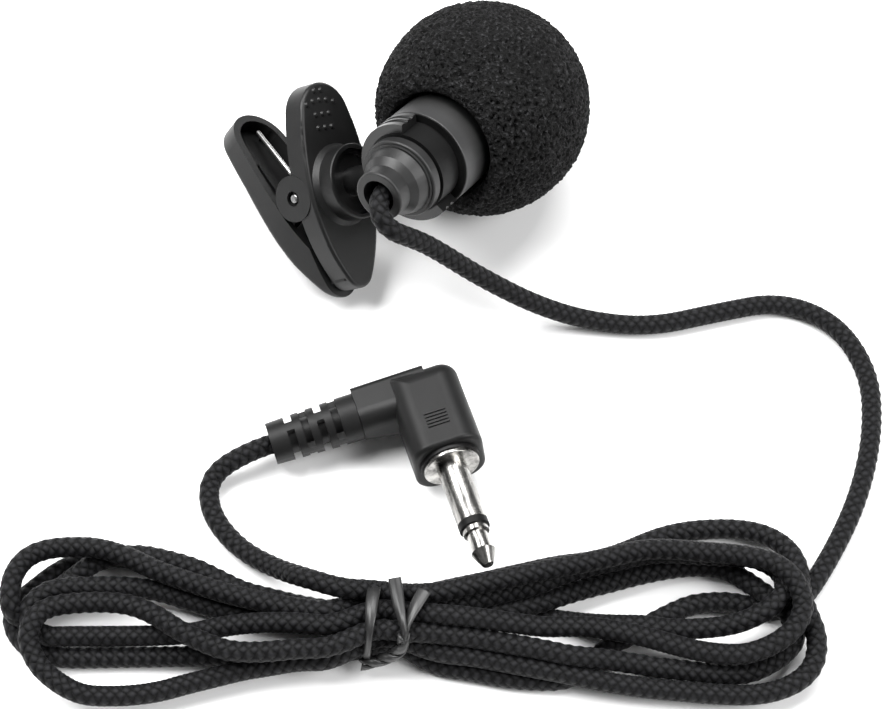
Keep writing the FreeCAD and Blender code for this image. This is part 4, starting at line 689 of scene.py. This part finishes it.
def braided():
    """Plaited nylon: stitches that pass over and under, each a bundle of fine filaments."""
    surface = Surface("braided_nylon", (0.02, 0.02, 0.022), 0.55)
    uv = surface.node("ShaderNodeUVMap", uv_map="plait")
    parts = surface.tree.nodes.new("ShaderNodeSeparateXYZ")
    surface.link(uv.outputs["UV"], parts.inputs["Vector"])
    around = surface.math("MULTIPLY", parts.outputs["X"], BRAID_CELLS / (math.pi * CORD_DIAMETER))
    along = surface.math("DIVIDE", parts.outputs["Y"], BRAID_PITCH)
    right = surface.math("ADD", around, along)
    left = surface.math("SUBTRACT", around, along)
    cells = surface.math("ADD", surface.math("FLOOR", right), surface.math("FLOOR", left))
    odd = surface.math("MULTIPLY", surface.math("FRACT", surface.math("MULTIPLY", cells, 0.5)), 2.0)
    lean = surface.math("MULTIPLY", odd, BRAID_SHORT - BRAID_LONG)
    waves = []
    for place, power in (
        (right, surface.math("ADD", lean, BRAID_LONG)),
        (left, surface.math("SUBTRACT", BRAID_SHORT, lean)),
    ):
        wave = surface.math("SINE", surface.math("MULTIPLY", surface.math("FRACT", place), math.pi))
        waves.append(surface.math("POWER", wave, power))
    height = surface.math("MULTIPLY", *waves)
    runs = surface.math("ADD", surface.math("MULTIPLY", right, odd), surface.math(
        "MULTIPLY", left, surface.math("SUBTRACT", 1.0, odd)))
    threads = surface.math("SINE", surface.math("MULTIPLY", runs, 44.0))
    surface.bump(height, 0.7, 0.00015)
    surface.bump(threads, 0.35, 0.00002)
    surface.bump(surface.noise(7000.0, 3.0), 0.3, 0.00003)
    # Painted shade: the colour darkens from the stitch tops down into the grooves between them.
    shade = surface.math("MULTIPLY", height, surface.spread(surface.noise(900.0), 0.7, 1.3))
    surface.link(surface.ramp(shade, [
        (0.15, (0.001, 0.001, 0.0011)), (0.6, (0.0045, 0.0045, 0.005)),
        (1.0, (0.0125, 0.0125, 0.014)),
    ]), surface.shader.inputs["Base Color"])
    surface.roughness(surface.noise(2500.0), 0.45, 0.65)
    surface.shader.inputs["Specular IOR Level"].default_value = 0.13
    surface.shader.inputs["Sheen Weight"].default_value = 0.03
    surface.shader.inputs["Sheen Roughness"].default_value = 0.4
    return surface.material


def foam_material():
    """Open-cell foam: painted shade in the pores and painted highlights on the raised grains, with
    uneven roughness.
    """
    surface = Surface("open_cell_foam", (0.008, 0.008, 0.008), 0.8)
    surface.shader.inputs["Specular IOR Level"].default_value = 0.2
    grain = surface.noise(2300.0, 1.0, 0.5)
    fine = surface.noise(5200.0, 2.0, 0.6)
    relief = surface.math(
        "ADD", surface.math("MULTIPLY", grain, 0.68), surface.math("MULTIPLY", fine, 0.32),
    )
    # Painted shade and highlight: the colour is near black where the relief is low and lighter where
    # it is high.
    pore_shade_and_grain_highlight = surface.ramp(relief, [
        (0.44, (0.0003, 0.0003, 0.0003)), (0.52, (0.003, 0.003, 0.0031)),
        (0.59, (0.0085, 0.0085, 0.009)), (0.67, (0.036, 0.036, 0.038)),
    ])
    surface.link(pore_shade_and_grain_highlight, surface.shader.inputs["Base Color"])
    surface.bump(relief, 1.0, 0.0009)
    surface.roughness(fine, 0.55, 0.95)
    return surface.material


def plug_metal():
    """Nickel plate whose colour carries dark and light streaks along the shaft: painted reflections.
    """
    surface = Surface("nickel_plate", (0.6, 0.59, 0.57), 0.2, metallic=1.0)
    turned = surface.node("ShaderNodeMapping")
    surface.link(surface.place.outputs["Object"], turned.inputs["Vector"])
    turned.inputs["Rotation"].default_value = (0.0, 0.0, PLUG_HEADING)
    turned.inputs["Scale"].default_value = (1.0, 0.12, 1.0)
    reflection_streaks = surface.node("ShaderNodeTexNoise", Scale=620.0, Detail=5.0, Roughness=0.65)
    surface.link(turned.outputs["Vector"], reflection_streaks.inputs["Vector"])
    # Painted reflection: streaks stretched along the shaft run from near black to bright.
    surface.link(surface.ramp(reflection_streaks.outputs["Fac"], [
        (0.36, (0.09, 0.088, 0.085)), (0.47, (0.27, 0.265, 0.255)), (0.62, (0.52, 0.51, 0.49)),
    ]), surface.shader.inputs["Base Color"])
    surface.roughness(surface.noise(1500.0, 6.0), 0.16, 0.34)
    surface.bump(surface.noise(4000.0, 5.0), 0.08, 0.00002)
    return surface.material


def dress(material, *names):
    """Give whole pieces of the CAD this one material."""
    for name in names:
        mesh = frame["nodes"][name].data
        mesh.materials.clear()
        mesh.materials.append(material)
        mesh.polygons.foreach_set("material_index", [0] * len(mesh.polygons))


def dress_behind(name, material, station):
    """Give the part of a piece behind a station of the head its own material."""
    mesh = frame["nodes"][name].data
    mesh.materials.append(material)
    start = HEAD_AXIS.dot(FOAM_CENTRE)
    for polygon in mesh.polygons:
        reach = max(HEAD_AXIS.dot(mesh.vertices[index].co) for index in polygon.vertices)
        if reach > start + station * MM and HEAD_AXIS.dot(polygon.center) > start + station * MM:
            polygon.material_index = 1


def make_materials(cord, tie, foam, spring):
    cord.data.materials.append(braided())
    tie.data.materials.append(moulded("tie_plastic_skin", 0.016, 0.4))
    foam.data.materials.append(foam_material())
    dress(collar_plastic("collar_plastic_skin", 0.024, 0.42), "front_housing")
    # Painted shade: the housing behind the collar gets a darker, less glossy copy of its plastic, for
    # the shade on the recessed neck.
    dress_behind("front_housing", moulded("neck_painted_shade_plastic", 0.0035, 0.5, gloss=0.2), COLLAR_END)
    dress(moulded("clip_plastic", 0.006, 0.42, gloss=0.36), "clip_front_jaw", "clip_rear_jaw")
    dress(moulded("cap_rubber_skin", 0.011, 0.46, grain=0.3, gloss=0.45), "rear_cap")
    dress(moulded("holder_plastic_skin", 0.006, 0.3, gloss=0.5), "mic_holder")
    dress(moulded("plug_vinyl", 0.0065, 0.46, gloss=0.24), "plug_body", "strain_relief")
    dress(plug_metal(), "plug_sleeve", "plug_tip")
    dress(plated("bright_steel", (0.3, 0.3, 0.3), 0.3), "clip_pin")
    dress(moulded("insulator_black", 0.003, 0.5, grain=0.1, gloss=0.15), "plug_insulator")
    spring_steel = plated("spring_wire", (0.55, 0.55, 0.54), 0.3, grain=0.0)
    for piece in spring:
        piece.data.materials.append(spring_steel)
    dress_inside()


def dress_inside():
    """Materials of the pieces inside the head and the plug, which are out of sight."""
    dress(plated("blackened_grille", (0.12, 0.12, 0.12), 0.4), "mic_grille")
    dress(moulded("felt_cloth", 0.02, 0.9, grain=0.8), "capsule_felt")
    dress(plated("capsule_can_metal", (0.8, 0.8, 0.8), 0.3), "capsule_can")
    dress(plated("backplate_brass", (0.7, 0.55, 0.28), 0.3), "capsule_backplate")
    dress(plated("diaphragm_metal", (0.75, 0.72, 0.6), 0.2), "capsule_diaphragm")
    dress(moulded("spacer_white", 0.6, 0.4), "capsule_spacer")
    dress(moulded("board_green", 0.12, 0.35, tint=(0.4, 1.0, 0.5)), "capsule_board")
    dress(moulded("boot_black", 0.015, 0.6), "capsule_boot")
    dress(moulded("transistor_black", 0.015, 0.3), "capsule_transistor")
    dress(plated("solder_metal", (0.7, 0.7, 0.7), 0.3), "solder_pads")
    dress(moulded("wire_red", 0.35, 0.35, tint=(1.0, 0.12, 0.1)), "signal_wires", "plug_conductors")
    dress(moulded("anchor_bead", 0.03, 0.3), "cord_anchor")
    dress(moulded("cord_inner_weave", 0.02, 0.6, grain=0.8), "cord_root", "cord_in_relief")
    dress(moulded("inner_mould_grey", 0.3, 0.45), "plug_core")
    dress(plated("terminal_metal", (0.75, 0.62, 0.35), 0.3), "tip_terminal", "sleeve_terminal")


# ----------------------------------------------------------------------------------------- stage
FLOOR_HALF = 1.5
WORLD_STRENGTH = 0.16
LIGHTS = [
    ("key", (-0.35, 0.1, 0.6), (0.4, 0.4), 8.0),
    ("top", (0.15, 0.35, 0.7), (0.5, 0.3), 6.0),
    ("fill", (0.5, -0.2, 0.45), (0.3, 0.4), 4.5),
]


def make_stage():
    size = FLOOR_HALF
    floor = mesh_object(
        "floor", [(-size, -size, 0), (size, -size, 0), (size, size, 0), (-size, size, 0)],
        [(0, 1, 2, 3)], smooth=False,
    )
    surface = Surface("pale_floor", (0.9, 0.9, 0.9), 0.75)
    floor.data.materials.append(surface.material)


def area_light(name, place, aim, size, power):
    data = bpy.data.lights.new(name, "AREA")
    data.shape = "RECTANGLE"
    data.size, data.size_y = size
    data.energy = power
    lamp = bpy.data.objects.new(name, data)
    bpy.context.scene.collection.objects.link(lamp)
    lamp.location = place
    lamp.rotation_euler = (Vector(place) - Vector(aim)).to_track_quat("Z", "Y").to_euler()


def make_lights():
    world = bpy.data.worlds.new("studio")
    world.use_nodes = True
    background = next(n for n in world.node_tree.nodes if n.type == "BACKGROUND")
    background.inputs["Color"].default_value = (1.0, 1.0, 1.0, 1.0)
    background.inputs["Strength"].default_value = WORLD_STRENGTH
    bpy.context.scene.world = world
    bpy.context.scene.view_settings.view_transform = "Standard"
    for name, place, size, power in LIGHTS:
        area_light(name, place, CAMERA_TARGET, size, power)


cord, cord_path, cord_length = make_cord()
tie = make_tie()
foam = make_windscreen()
spring = make_spring()
make_materials(cord, tie, foam, spring)
make_stage()
make_lights()
